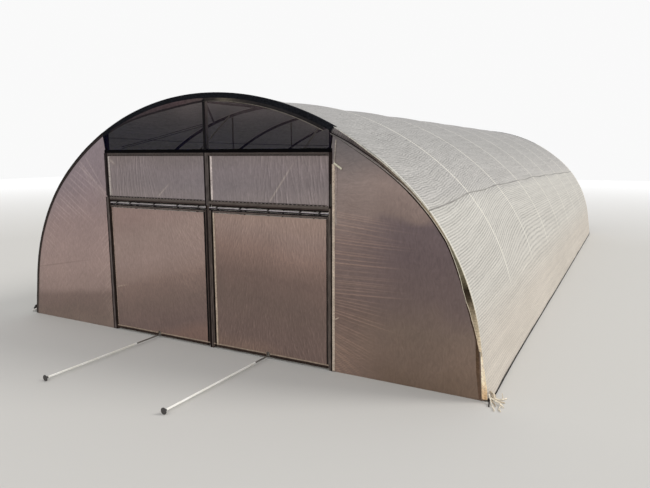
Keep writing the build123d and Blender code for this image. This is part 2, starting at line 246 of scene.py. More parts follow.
class Pile:
    """Grids of quads that become one mesh."""

    def __init__(self):
        self.points = []
        self.faces = []
        self.uvs = []
        self.tints = []
        self.count = 0

    def grid(self, points, uv=None, wrap=False, keep=None, tint=None):
        """Adds a grid and gives back the pile. wrap joins its last row to its first, and uv then has a row more."""
        rows, cols = points.shape[:2]
        r = np.arange(rows if wrap else rows - 1)[:, None]
        c = np.arange(cols - 1)[None, :]
        here = r * cols + c
        below = (r + 1) % rows * cols + c
        quads = np.stack([here, here + 1, below + 1, below], -1)
        if uv is None:
            uv = np.zeros((rows + 1, cols, 2))
        corners = np.stack([uv[r, c], uv[r, c + 1], uv[r + 1, c + 1], uv[r + 1, c]], -2)
        if keep is not None:
            quads = quads[keep]
            corners = corners[keep]
        self.points.append(points.reshape(-1, 3))
        self.faces.append(quads.reshape(-1, 4) + self.count)
        self.uvs.append(corners.reshape(-1, 2))
        if tint is not None:
            self.tints.append(tint.reshape(-1, 3))
        self.count += rows * cols
        return self

    def tube(self, path, radius, count=8, squash=1.0, side=(0, 0, 1), tint=None):
        """Round or flattened tube along a path."""
        self.sweep(path, ring(count) * [radius, radius * squash], side, tint)

    def sweep(self, path, profile, side=(0, 0, 1), tint=None):
        """A closed profile carried along a path. Its first direction lies towards side."""
        path = np.asarray(path, float)
        along = np.gradient(path, axis=0)
        along /= np.linalg.norm(along, axis=1)[:, None]
        first = np.broadcast_to(np.asarray(side, float), path.shape)
        first = first - along * np.sum(first * along, 1)[:, None]
        lengths = np.linalg.norm(first, axis=1)[:, None]
        first = np.where(lengths > 1e-6, first / np.maximum(lengths, 1e-9), [[1.0, 0.0, 0.0]])
        second = np.cross(along, first)
        steps = np.r_[0, np.cumsum(np.linalg.norm(np.diff(path, axis=0), axis=1))]
        # Each end comes once more, without size, so that the sweep is closed there
        order = np.r_[0, np.arange(len(path)), len(path) - 1]
        size = np.r_[0.0, np.ones(len(path)), 0.0]
        middle = profile.mean(0)
        shape = middle + (profile[:, None] - middle) * size[None, :, None]
        points = path[order] + shape[..., :1] * first[order] + shape[..., 1:] * second[order]
        round_trip = np.linalg.norm(np.diff(np.r_[profile, profile[:1]], axis=0), axis=1)
        girth = np.r_[0, np.cumsum(round_trip)]
        if tint is not None:
            tint = np.broadcast_to(tint, (len(profile), len(path), 3))[:, order]
        self.grid(points, places(steps[order], girth[:, None]), wrap=True, tint=tint)

    def ribbon(self, start, end, low, high, y, shade, seed, level=False, puff=0.0025):
        """Strip of wrapped film with wavering edges, upright or level, towards the front."""
        along = np.linspace(low, high, max(6, int((high - low) / 0.025)))[None, :]
        share = shares(5)
        across = start + (end - start) * share + 0.0016 * drift(along, along * 0 + seed, 0.13, seed)
        across = across + 0.0010 * drift(along, share * 0.5, 0.045, seed + 1)
        depth = puff * hump(share) + 0.0012 * (1 + drift(along, share * 0.3, 0.07, seed + 2))
        tint = linear(*shade) * (1 + 0.30 * drift(along, share * 0.2, 0.10, seed + 3)[..., None])
        points = places(along, y - depth, across) if level else places(across, y - depth, along)
        self.grid(points, places(across, along), tint=tint)

    def ball(self, centre, radii, rings=8, count=12):
        """Rounded lump."""
        up = np.linspace(-math.pi / 2, math.pi / 2, rings + 1)[None, :]
        around = np.linspace(0, 2 * math.pi, count, endpoint=False)[:, None]
        unit = places(np.cos(up) * np.cos(around), np.cos(up) * np.sin(around), np.sin(up))
        self.grid(np.asarray(centre) + unit * np.asarray(radii), wrap=True)

    def build(self, name, material, body="tunnel", slot=None, angle=None, nodes=()):
        """Makes the mesh, with nothing under the ground, hangs it on the body it rides on and hides the parts it
        replaces.
        """
        points = np.concatenate(self.points)
        points[:, 2] = np.maximum(points[:, 2], 0.0)
        faces = np.concatenate(self.faces)
        mesh = bpy.data.meshes.new(name)
        mesh.vertices.add(len(points))
        mesh.vertices.foreach_set("co", points.ravel())
        mesh.loops.add(faces.size)
        mesh.loops.foreach_set("vertex_index", faces.ravel())
        mesh.polygons.add(len(faces))
        mesh.polygons.foreach_set("loop_start", np.arange(len(faces)) * 4)
        mesh.update(calc_edges=True)
        layer = mesh.uv_layers.new(name="UVMap")
        layer.data.foreach_set("uv", np.concatenate(self.uvs).ravel())
        mesh.polygons.foreach_set("use_smooth", np.ones(len(faces), bool))
        if angle is not None:
            mesh.set_sharp_from_angle(angle=math.radians(angle))
        if self.tints:
            colours = np.concatenate(self.tints)
            colours = np.concatenate([colours, np.ones((len(colours), 1))], 1)
            tint = mesh.color_attributes.new(name="Tint", type="FLOAT_COLOR", domain="POINT")
            tint.data.foreach_set("color", colours.ravel())
        mesh.materials.append(material)
        obj = bpy.data.objects.new(name, mesh)
        bpy.context.scene.collection.objects.link(obj)
        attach(obj, body)
        if nodes:
            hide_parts(*nodes)
        return obj


# Materials

class Shader:
    """A material's node tree with short calls for the nodes used here."""

    def __init__(self, name, rough=0.6, metal=0.0, **sockets):
        self.material = bpy.data.materials.new(name)
        self.material.use_nodes = True
        self.tree = self.material.node_tree
        self.principled = self.tree.nodes["Principled BSDF"]
        self.output = self.tree.nodes["Material Output"]
        self.principled.inputs["Roughness"].default_value = rough
        self.principled.inputs["Metallic"].default_value = metal
        for key, value in sockets.items():
            self.principled.inputs[key.replace("_", " ")].default_value = value

    def node(self, kind, inputs=(), **settings):
        node = self.tree.nodes.new(kind)
        for key, value in settings.items():
            setattr(node, key, value)
        for key, value in dict(inputs).items():
            self.put(node, key, value)
        return node

    def put(self, node, key, value):
        if isinstance(value, bpy.types.NodeSocket):
            self.tree.links.new(value, node.inputs[key])
        else:
            node.inputs[key].default_value = value

    def coordinates(self, uv=False):
        return self.node("ShaderNodeTexCoord").outputs["UV" if uv else "Object"]

    def painted(self):
        """Tint painted on the mesh."""
        return self.node("ShaderNodeAttribute", attribute_name="Tint").outputs["Color"]

    def noise(self, vector, scale, detail, rough=0.5, distort=0.0):
        """Noise over coordinates that are stretched first, or over plain ones without a scale."""
        if scale:
            vector = self.node("ShaderNodeMapping", {"Vector": vector, "Scale": scale}).outputs[0]
        return self.node("ShaderNodeTexNoise", {
            "Vector": vector, "Scale": 1.0, "Detail": detail, "Roughness": rough,
            "Distortion": distort}).outputs["Fac"]

    def grain(self, scale, detail, rough=0.5, distort=0.0, uv=False):
        """Noise over the object or its UV map, stretched."""
        return self.noise(self.coordinates(uv), scale, detail, rough, distort)

    def ramp(self, value, *stops):
        """Colour ramp. A stop is a place and an sRGB colour or a grey."""
        node = self.node("ShaderNodeValToRGB", {"Fac": value})
        ramp = node.color_ramp
        while len(ramp.elements) < len(stops):
            ramp.elements.new(0.5)
        for element, (place, *shade) in zip(ramp.elements, stops):
            element.position = place
            element.color = rgba(*shade) if len(shade) == 3 else (*shade * 3, 1)
        return node.outputs["Color"]

    def span(self, value, low, high, start, end, kind="LINEAR"):
        """Goes from start to end while the value goes from low to high."""
        inputs = {"Value": value, 1: low, 2: high, 3: start, 4: end}
        return self.node("ShaderNodeMapRange", inputs, interpolation_type=kind).outputs[0]

    def mix(self, factor, low, high, how="MIX"):
        node = self.node("ShaderNodeMix", data_type="RGBA", blend_type=how)
        for key, value in ((0, factor), (6, low), (7, high)):
            self.put(node, key, value)
        return node.outputs[2]

    def multiply(self, first, second):
        return self.mix(1.0, first, second, "MULTIPLY")

    def maths(self, how, first, second=0.0, third=0.0):
        return self.node("ShaderNodeMath", {0: first, 1: second, 2: third}, operation=how).outputs[0]

    def times(self, first, second, added=None):
        """Product of two values, with a third added to it if there is one."""
        if added is None:
            return self.maths("MULTIPLY", first, second)
        return self.maths("MULTIPLY_ADD", first, second, added)

    def plus(self, first, second):
        return self.maths("ADD", first, second)

    def minus(self, first, second):
        return self.maths("SUBTRACT", first, second)

    def finish(self, colour, rough=None, relief=None, strength=0.0, distance=0.0, glow=0.0):
        """Sets colour, roughness and relief. glow is the share of light let through from behind."""
        self.put(self.principled, "Base Color", colour)
        if rough is not None:
            self.put(self.principled, "Roughness", rough)
        if relief is not None:
            inputs = {"Height": relief, "Strength": strength, "Distance": distance}
            normal = self.node("ShaderNodeBump", inputs).outputs[0]
            self.put(self.principled, "Normal", normal)
        if glow:
            through = self.node("ShaderNodeBsdfTranslucent", {"Color": colour, "Normal": normal})
            inputs = {0: glow, 1: self.principled.outputs[0], 2: through.outputs[0]}
            self.put(self.output, "Surface", self.node("ShaderNodeMixShader", inputs).outputs[0])
        return self.material


def make_cover_material():
    """Pale knitted net over film: fine lengthwise ribs, light lines over the hoops that are partly painted highlight,
    a smoother foot.
    """
    s = Shader("net_cover", rough=0.82, Specular_IOR_Level=0.25, Sheen_Weight=0.1)
    parts = s.node("ShaderNodeSeparateXYZ", {0: s.coordinates(uv=True)})
    along, reach = parts.outputs[0], parts.outputs[1]
    away = s.maths("ABSOLUTE", reach)

    def uneven_by(scale, detail, rough=0.5):
        """Noise round zero."""
        return s.minus(s.grain(scale, detail, rough, uv=True), 0.5)

    def drawn_out(along_scale, reach_scale, detail):
        """Noise drawn out along the ribs."""
        line = s.node("ShaderNodeCombineXYZ", {0: s.times(along, along_scale), 1: s.times(swept, reach_scale)})
        return s.noise(line.outputs[0], None, detail, 0.6)

    roof = s.span(away, 3.2, 3.9, 1.0, 0.18)
    low = s.span(away, 4.4, 5.6, 1.0, 0.45)
    # Ribs climb towards the rear above mid height near the front, and waver more over the roof
    climb = s.span(along, 0.0, 4.5, 0.0, 0.56, "SMOOTHSTEP")
    high = s.span(away, 4.1, 5.5, 1.0, 0.0, "SMOOTHSTEP")
    swept = s.times(s.times(uneven_by((2.2, 3.4, 1), 3, 0.6), 0.13), roof, s.times(climb, high, away))
    small = uneven_by((9, 16, 1), 2)
    swept = s.times(small, 0.012, swept)
    rib = s.times(s.maths("SINE", s.times(swept, 2 * math.pi / rib_pitch)), 0.5, 0.5)
    uneven = drawn_out(1.6, 36.0, 3)
    gaps = s.times(s.maths("POWER", rib, 1.8), s.span(uneven, 0.35, 0.65, 0.15, 1.0))
    gaps = s.times(s.times(gaps, low), s.span(along, 4.0, 9.0, 1.0, 0.55))
    bands = s.minus(drawn_out(0.32, 11.0, 4), 0.5)
    level = s.times(gaps, -0.62, 1.13)
    level = s.times(bands, 0.40, level)
    level = s.times(s.minus(uneven, 0.5), 0.45, level)
    level = s.times(uneven_by((26, 60, 1), 2, 0.6), 0.55, level)
    level = s.times(uneven_by((1.1, 2.6, 1), 4, 0.65), 0.16, level)
    level = s.minus(level, s.span(along, 4.0, 8.0, 0.0, 0.055))
    level = s.times(s.times(small, roof), 0.55, level)
    ground = s.ramp(
        s.times(away, 0.16), (0.0, 177, 175, 174), (0.40, 180, 178, 175), (0.565, 194, 191, 187),
        (0.60, 208, 205, 198), (0.78, 210, 206, 198), (0.88, 212, 204, 193), (0.97, 211, 202, 190))
    face = s.multiply(ground, level)
    # Light lines where the cover is drawn over a hoop, partly a painted highlight on the ridge there
    wobble = s.times(uneven_by((0, 2.5, 1), 2), 0.016)
    place = s.plus(s.plus(along, wobble), 1.0)
    bay_place = s.maths("ABSOLUTE", s.minus(s.maths("MODULO", place, bay), 1.0))
    over = s.span(bay_place, 0.012, 0.023, 1.0, 0.0)
    lower = s.span(away, 4.85, 5.15, 1.0, 0.0)
    upper = s.span(away, 1.0, 3.4, 0.75, 1.0)
    inside = s.span(along, 0.3, 0.5, 0.0, 1.0)
    edge = s.span(away, 2.65, 2.95, 0.0, 0.6)
    share = s.times(s.times(over, lower), s.times(upper, s.maths("MAXIMUM", inside, edge)))
    face = s.mix(share, face, rgba(251, 247, 235))
    relief = s.plus(s.times(gaps, -0.5, s.times(bands, 1.2)), s.times(share, 0.8))
    return s.finish(face, s.ramp(uneven, (0.3, 0.9), (0.7, 0.76)), relief, 0.6, 0.005, 0.24)


def make_film_material(name, streak, turned=None):
    """Milky film: its tint is painted on the sheet, with short wavering strokes and gloss on top."""
    s = Shader(name, rough=0.6, Specular_IOR_Level=0.3)
    place = s.coordinates()
    bend = s.node("ShaderNodeTexNoise", {"Vector": place, "Scale": 4.5, "Detail": 2.0}).outputs["Color"]
    bend = s.node("ShaderNodeVectorMath", {0: bend, 1: (0.5, 0.5, 0.5)}, operation="SUBTRACT").outputs[0]
    bent = s.node("ShaderNodeVectorMath", {0: bend, 1: (0.16, 0.16, 0.16), 2: place},
                  operation="MULTIPLY_ADD").outputs[0]
    fine = s.noise(bent, streak, 3, 0.6)
    if turned:
        away = s.maths("ABSOLUTE", s.node("ShaderNodeSeparateXYZ", {0: place}).outputs[0])
        both = s.node("ShaderNodeMix", data_type="FLOAT")
        for key, value in ((0, s.span(away, 2.35, 3.0, 0.0, 1.0)), (2, fine), (3, s.noise(bent, turned, 3, 0.6))):
            s.put(both, key, value)
        fine = both.outputs[0]
    grime = s.grain((1.7, 1.7, 1.9), 4, 0.6)
    face = s.multiply(s.painted(), s.ramp(fine, (0.28, 0.86), (0.5, 0.99), (0.72, 1.13)))
    face = s.multiply(face, s.ramp(grime, (0.3, 0.93), (0.7, 1.06)))
    return s.finish(face, s.ramp(grime, (0.3, 0.52), (0.7, 0.7)), fine, 0.22, 0.002, 0.16)


def make_net_material(name, shade, alpha, scale=(160, 160, 160)):
    """Black knitted net: fine loops and a little dust on the threads. No shade means a painted tint."""
    s = Shader(name, rough=0.8, Specular_IOR_Level=0.04, Alpha=alpha)
    loops = s.grain(scale, 2)
    dust = s.grain((2.2, 2.2, 3.0), 4, 0.6)
    face = s.multiply(s.ramp(loops, (0.35, 0.45), (0.5, 0.95), (0.65, 1.6)), rgba(*shade) if shade else s.painted())
    return s.finish(s.multiply(face, s.ramp(dust, (0.3, 0.8), (0.7, 1.25))), None, loops, 0.5, 0.0015)


def make_steel_material(name, low, high, rough, metal, streak, spots, share):
    """Tube steel: zinc bloom or paint with streaks, and spots of rust or dirt."""
    s = Shader(name, rough=rough, metal=metal)
    face = s.ramp(s.grain(streak, 5, 0.6), (0.3, *low), (0.7, *high))
    patches = s.grain((9, 9, 6), 6, 0.7)
    face = s.mix(s.span(patches, 0.5, 0.68, 0.0, share), face, rgba(*spots))
    grain = s.grain((70, 70, 70), 3, 0.6)
    return s.finish(face, s.ramp(grain, (0.3, rough - 0.12), (0.7, rough + 0.15)), grain, 0.15, 0.001)


def make_wrap_material(name, low, high, streak=(40, 40, 1.6), spec=0.3):
    """Dark film wrapped round a post or rail, with long folds."""
    s = Shader(name, rough=0.45, Specular_IOR_Level=spec)
    folds = s.grain(streak, 4, 0.6, 0.4)
    dirt = s.grain((4, 4, 3), 5, 0.65)
    middle = [(a + b) // 2 for a, b in zip(low, high)]
    face = s.ramp(folds, (0.32, *low), (0.52, *middle), (0.68, *high))
    face = s.multiply(face, s.ramp(dirt, (0.3, 0.8), (0.7, 1.2)))
    return s.finish(face, s.ramp(dirt, (0.3, 0.35), (0.7, 0.62)), folds, 0.6, 0.004)


def make_tinted_wrap(name, streak, rough=0.5):
    """Film or net wrapped over a member, whose shade is painted on the strip."""
    s = Shader(name, rough=rough, Specular_IOR_Level=0.06)
    folds = s.grain(streak, 4, 0.6, 0.4)
    dirt = s.grain((5, 5, 4), 5, 0.65)
    face = s.multiply(s.painted(), s.ramp(folds, (0.3, 0.68), (0.5, 1.0), (0.7, 1.34)))
    face = s.multiply(face, s.ramp(dirt, (0.3, 0.85), (0.7, 1.15)))
    return s.finish(face, s.ramp(dirt, (0.3, rough - 0.08), (0.7, rough + 0.12)), folds, 0.5, 0.003)


cover_look = make_cover_material()
film_vertical = make_film_material("film_upright_folds", (52, 52, 12))
film_across = make_film_material("film_level_folds", (9, 52, 48), (46, 46, 9))
net_look = make_net_material("vent_net_look", None, 0.79)
band_look = make_net_material("net_band_look", (23, 24, 28), 1.0, (60, 220, 60))
black_wrap = make_net_material("net_wrap_look", (3, 2, 3), 1.0, (90, 90, 90))
dark_wrap = make_wrap_material("dark_film_wrap", (44, 36, 31), (104, 92, 84))
rail_wrap = make_wrap_material("dark_rail_wrap", (42, 35, 31), (104, 92, 82), (1.6, 40, 60))
seam_look = make_wrap_material("seam_strip", (114, 112, 108), (158, 155, 148), (1.2, 1.2, 30))
# Near-black film at the foot, partly the film's own colour and partly painted shadow; the base rails and the left
# knot use it too
foot_film_and_shade = make_wrap_material("foot_film_painted_shade", (14, 12, 12), (38, 33, 30), (2, 2, 22), 0.08)
clip_look = make_wrap_material("clip_strap", (30, 26, 25), (64, 57, 53), (40, 40, 40))
upright_wrap = make_tinted_wrap("post_wrap", (70, 70, 9))
level_wrap = make_tinted_wrap("rail_wrap", (9, 70, 90))
edge_wrap = make_tinted_wrap("edge_wrap", (45, 45, 45), 0.6)
# The inner tubes, the knee braces and the struts are the same galvanised tube: the inner tubes are painted dark as
# shade inside the tunnel, and the knee braces and struts are painted lighter as sunlit.
shaded_zinc, sunlit_zinc, lit_strut_look, end_hoop_look, wire_look, beam_channel, header_channel = (
    make_steel_material(*row) for row in (
        ("zinc_painted_shade", (62, 57, 58), (94, 88, 86), 0.6, 0.2, (3, 3, 3), (60, 48, 40), 0.5),
        ("zinc_painted_sunlit", (222, 216, 196), (246, 242, 226), 0.5, 0.0, (6, 6, 6), (176, 162, 138), 0.3),
        ("zinc_strut_painted_light", (150, 144, 128), (206, 200, 182), 0.5, 0.2, (3, 3, 1.2), (90, 76, 60), 0.5),
        ("end_hoop_zinc", (122, 116, 104), (168, 160, 146), 0.5, 0.3, (5, 5, 5), (84, 66, 50), 0.6),
        ("lock_wire", (24, 17, 15), (44, 32, 27), 0.6, 0.1, (20, 20, 20), (90, 62, 44), 0.4),
        ("beam_channel", (44, 35, 31), (66, 54, 48), 0.6, 0.1, (4, 20, 20), (34, 24, 20), 0.6),
        ("header_channel", (74, 64, 58), (96, 85, 79), 0.6, 0.15, (4, 20, 20), (52, 40, 34), 0.6)))


# Cover: three sheets that sag a little between the hoops

def seam_at(y):
    """Reach of the right seam along the tunnel. It dips at the ends and sags between the hoops."""
    course = [3.708, 3.606, 3.578, 3.588, 3.582, 3.620, 3.650, 3.690, 3.720]
    return np.interp(y, np.arange(9) * bay, course) + 0.016 * between_hoops(y)


def flare(y):
    """How far the cover's foot spreads out over the ground along the tunnel."""
    marks = [front_y, 0.2, 0.85, 1.6, 2.4, 6.9, 15.6, rear_y]
    return np.interp(y, marks, [0, 0.040, 0.031, 0.023, 0.021, 0.027, 0.024, 0])


def cover_sheet(label, side, sag):
    """One length of the cover: the roof, or with a side the part below that seam."""
    steps = np.linspace(front_y, rear_y, bays * 32 + 1)[None, :]
    seam = seam_at(steps) + 0.001 * (1 if side else -1)
    share = shares(42 if side else 122)
    wide = flare(steps)
    reach = side * (seam + (foot(cover_out + wide) - seam) * share) if side else seam * (2 * share - 1)
    y = np.broadcast_to(steps, reach.shape)
    x, z, turn = arch(reach, cover_out - 0.001 + wide * smooth((np.abs(reach) - foot_reach + 0.40) / 0.40))
    edges = smooth(np.abs(np.abs(reach) - seam) / 0.35)
    near_ground = 1 - smooth((np.abs(reach) - 4.4) / 1.4)
    depth = sag * (0.25 + 0.75 * edges) * (0.35 + 0.65 * near_ground)
    depth += 0.003 * drift(y, reach, 0.45, 5) + 0.0018 * drift(y, reach * 3, 0.3, 6)
    depth = np.maximum(depth * between_hoops(y), 0)
    z = np.maximum(z - depth * np.cos(turn), 0.001)
    pile = Pile().grid(places(x - depth * np.sin(turn), y, z), places(y, reach))
    piece = pile.build(f"cover_{label}", cover_look, slot="net_cover", nodes=[f"{label}_cover"])


for label, side in sides:
    cover_sheet(label, side, 0.020)
cover_sheet("roof", 0, 0.034)


def seam_and_skirt():
    """Welded strip over each seam, and the dark film along the foot, which is partly painted shadow."""
    steps = np.linspace(front_y, rear_y, bays * 20 + 1)
    seams = Pile()
    skirts = Pile()
    profile = np.array([[-0.0045, -0.008], [0.002, -0.009], [0.0042, -0.003],
                        [0.005, 0.003], [0.002, 0.009], [-0.0045, 0.008]])
    rows = shares(6)
    wide = flare(steps)
    for side in (-1, 1):
        ripple = 0.004 * drift(steps, steps * 0, 0.35, 21 + side)
        x, z, turn = arch(side * (seam_at(steps) + ripple), cover_out + 0.0004)
        dip = 0.004 * between_hoops(steps)
        seams.sweep(places(x - dip * np.sin(turn), steps, z - dip * np.cos(turn)), profile, outward(turn))
        top = 0.028 + 0.006 * drift(steps, steps * 0, 0.25, 31 + side)
        reach = side * (foot(cover_out + 0.004 + wide) - top * (1 - rows))
        belly = 0.0015 + 0.0012 * hump(rows) + 0.0008 * drift(steps[None, :], rows * 0.3, 0.08, 41)
        x, z, _ = arch(reach, cover_out + belly + wide)
        skirts.grid(places(x, steps, np.maximum(z, 0.0)), places(steps, rows * 0.05))
    seams.build("seam_welds", seam_look, slot="dark_strip", nodes=["seam_strips"])
    skirts.build("foot_film", foot_film_and_shade, slot="dark_strip", nodes=["skirts"])


seam_and_skirt()


# Tubes inside

def hoop_path(y):
    """Centre line of a hoop from foot to foot, and the direction out of it."""
    x, z, turn = arch(np.linspace(-foot_reach, foot_reach, int(2 * foot_reach / 0.08)))
    return places(x, y, z), outward(turn)


def make_hoops():
    for index in range(1, bays):
        pile = Pile()
        path, out = hoop_path(index * bay)
        pile.tube(path, 0.0265, 12, side=out)
        for reach in purlin_reaches:
            x, z, turn = arch(np.array([reach]), -purlin_drop)
            out = outward(turn)[0]
            level = out[::-1] * [1, 1, -1]
            centre = np.array([x[0], index * bay, z[0]])
            # Saddle bolt that holds the purlin up against the hoop
            legs = [centre + level * 0.021 + out * 0.03]
            for a in np.linspace(math.pi * 0.5, math.pi * 1.5, 9):
                legs.append(centre + level * 0.021 * math.sin(a) + out * 0.021 * math.cos(a))
            legs.append(centre - level * 0.021 + out * 0.03)
            for step in (-0.012, 0.012):
                pile.tube(np.array(legs) + [0, step, 0], 0.0035, 6, side=(0, 1, 0))
        pile.build(f"hoop_tube_{index}", shaded_zinc, slot="galvanised", nodes=[f"inner_hoop_{index}"])
    for name, y in (("front_hoop", 0.0), ("rear_hoop", bays * bay)):
        # Square tube with rounded corners
        corner = (np.abs(ring(20)) ** 6).sum(1) ** (-1 / 6)
        path, out = hoop_path(y)
        pile = Pile()
        pile.sweep(path, ring(20) * corner[:, None] * 0.0246, out)
        pile.build(f"{name}_tube", end_hoop_look, slot="weathered_steel", nodes=[name])


make_hoops()


def make_inner_tubes():
    pile = Pile()
    for reach in purlin_reaches:
        x, z, _ = arch(np.array([reach]), -purlin_drop)
        y = np.linspace(front_y + head_gap, rear_y - head_gap, 33)
        pile.tube(places(x, y, z), tube_radius, 10, side=(1, 0, 0))
    pile.build("purlin_tubes", shaded_zinc, slot="galvanised", nodes=["purlins"])
    ties = Pile()
    struts = Pile()
    under = -(hoop_half + fit_gap)
    reach = np.interp(-(tie_z + 0.017), -arch(arch_samples, under)[1], arch_samples)
    end = float(arch(np.array([reach]), under)[0][0])
    top = float(arch_z(strut_x + 0.026, -hoop_half)) - fit_gap
    for index in range(1, bays):
        y = index * bay
        ties.tube(places(np.linspace(-end, end, 21), y, tie_z), tube_radius, 10)
        for x in (-strut_x, strut_x):
            # The strut, and a socket at its top and at its foot
            for low, high, radius in ((tie_z + 0.0175, top - 0.004, 0.0127), (top - 0.034, top - 0.010, 0.0165),
                                      (tie_z + 0.0172, tie_z + 0.036, 0.0165)):
                struts.tube([(x, y, low), (x, y, high)], radius, 10, side=(1, 0, 0))
    ties.build("tie_tubes", shaded_zinc, slot="galvanised", angle=50, nodes=["truss_ties"])
    struts.build("strut_tubes", lit_strut_look, slot="galvanised", angle=50, nodes=["truss_struts"])
    braces = Pile()
    knees = Pile()
    apex_x = 0.0153
    apex_z = float(arch_z(apex_x, -hoop_half)) - 0.064
    for pile, foot_x, foot_z, head_x in (
            (knees, -1.0, header_z, -1.1), (knees, 0.99, header_z, 0.95),
            (braces, -apex_x, apex_z, -1.45), (braces, apex_x, apex_z, 1.45)):
        head = (head_x, bay - hoop_half - fit_gap, float(arch_z(head_x, 0)))
        pile.tube([(foot_x, front_y + head_gap, foot_z), head], 0.0155, 10, side=(1, 0, 0))
    knees.build("knee_tubes", sunlit_zinc, slot="galvanised", angle=50, nodes=["front_braces"])
    braces.build("roof_brace_tubes", shaded_zinc, slot="galvanised", angle=50)
    # A thin wire runs across behind the vent, with a slight sag
    wire = Pile()
    wire_y = front_y + 0.056
    x = np.linspace(-1.975, 1.975, 41)
    z = 3.029 - 0.079 * x / 1.975 - 0.02 * (1 - (x / 1.975) ** 2)
    wire.tube(places(x, wire_y, z), 0.003, 6, side=(0, 1, 0))
    # A pair of stays runs from the beam's left part up to the centre post
    stay = np.array([(-1.71, wire_y, 2.950), (-0.90, wire_y, 3.097), (-0.027, wire_y, 3.265)])
    for rise in (-0.013, 0.013):
        wire.tube(stay + [0, 0, rise], 0.004, 6, side=(0, 1, 0))
    wire.build("vent_wire", wire_look, slot="weathered_steel")


make_inner_tubes()


# Films on the end walls. Each has its own field of creases and its own painted tint.

def right_field(x, z):
    """Creases and tint of the film beside the doorway on the right. The tint is painted shade low down, a painted
    shadow edge near the top of the far part, and painted light towards the outer corner low down.
    """
    folds = np.zeros_like(x)
    dice = np.random.default_rng(3)
    level = 2.13
    while level > 0.10:
        lean = np.interp(level, [0.1, 0.45, 0.85, 1.1, 1.5, 2.1], [-0.80, -0.42, -0.16, 0.03, -0.02, -0.12])
        length = np.interp(level, [0.1, 0.5, 1.1, 2.1], [0.45, 0.75, 1.05, 1.2]) * dice.uniform(0.75, 1.15)
        height = dice.uniform(0.2, 0.9)
        width, bend = dice.uniform(0.005, 0.009), dice.uniform(-0.03, 0.03)
        folds += height * crease(x, z, (2.035, level), lean, length, width, bend)
        level -= dice.uniform(0.020, 0.060) * np.interp(level, [0.1, 0.9, 1.5], [0.6, 0.8, 1.2])
    shade_z = z + 0.08 * drift(x, z, 0.7, 12) + 0.05 * drift(x, z, 0.22, 13)
    near = ramp_colour(shade_z, [
        (0.05, 136, 114, 103), (0.35, 133, 112, 101), (0.8, 122, 102, 94), (1.3, 121, 103, 98),
        (1.8, 132, 113, 108), (2.15, 148, 130, 123), (2.45, 154, 137, 131), (2.8, 127, 117, 115),
        (3.1, 112, 106, 107)])
    far = ramp_colour(shade_z, [
        (0.05, 122, 102, 87), (0.3, 127, 107, 94), (0.7, 124, 106, 95), (1.1, 115, 98, 94),
        (1.6, 110, 94, 94), (2.02, 112, 97, 98), (2.13, 140, 121, 114), (2.45, 159, 139, 131),
        (2.8, 136, 123, 120), (3.1, 117, 109, 110)])
    blend = smooth((x - 2.15) / 0.9)[..., None]
    glow = smooth((x - 3.3) / 0.6) * smooth((1.5 - z) / 1.0)
    return folds, (near * (1 - blend) + far * blend) * (1 + 0.08 * glow[..., None])


def left_field(x, z):
    """Creases and tint of the film beside the doorway on the left, painted darker as shade below a sloping shadow
    line, with a dark line painted along one crease. Here x grows to the left.
    """
    folds = np.zeros_like(x)
    dice = np.random.default_rng(4)
    for step in range(24):
        start = 2.80 - step * 0.068 + dice.uniform(-0.012, 0.012)
        reach_in = float(arch_x(start, 0.0)) - dice.uniform(0.05, 0.16)
        height = dice.uniform(0.5, 1.0) * (1.25 if start > 1.8 else 0.7)
        lean = -0.58 - 0.32 * smooth((start - 2.62) / 0.2) + dice.uniform(-0.04, 0.04)
        length = dice.uniform(0.45, 1.1) * (1 if start > 1.9 else 0.5)
        folds += height * crease(-x, z, (-reach_in, start), lean, length, dice.uniform(0.007, 0.010), 0.02)
    for step in range(9):
        folds += dice.uniform(0.4, 0.8) * crease(
            -x, z, (-2.62 + step * 0.06, 2.72 - step * 0.05), -1.05, dice.uniform(0.4, 0.8), 0.008, 0.04)
    for step in range(13):
        folds += dice.uniform(0.3, 0.7) * crease(
            -x, z, (-2.045, 1.62 - step * 0.085), math.pi + 0.75 + dice.uniform(-0.08, 0.08),
            dice.uniform(0.25, 0.5), 0.008)
    for step in range(8):
        folds += dice.uniform(0.4, 0.8) * crease(
            -x, z, (-2.045, 0.52 - step * 0.045), math.pi + 0.80, dice.uniform(0.15, 0.3), 0.008)
    shadow_line = 0.60 - 0.10 * (np.abs(x) - 2.0)
    tint = ramp_colour(z - (shadow_line - 0.5) + 0.04 * drift(x, z, 0.4, 15), [
        (0.02, 137, 119, 109), (0.22, 132, 113, 104), (0.46, 138, 117, 109), (0.58, 163, 140, 132),
        (1.0, 171, 147, 140), (1.7, 166, 143, 139), (2.3, 152, 135, 138), (3.0, 152, 138, 143)])
    marks = tufts(x, z, (0.08, 0.09), lambda a, b: 0.5, lambda a, b: 0.85 if b < 1.2 and a < 2.6 else 2.4,
                  0.14, 0.011, 18)
    tint = tint * (1 + 0.11 * marks)[..., None]
    # A dark line painted along one long crease, as shade
    return folds, tint * (1 - 0.24 * crease(x, z, (3.86, 0.882), math.pi - 0.175, 1.6, 0.008))[..., None]


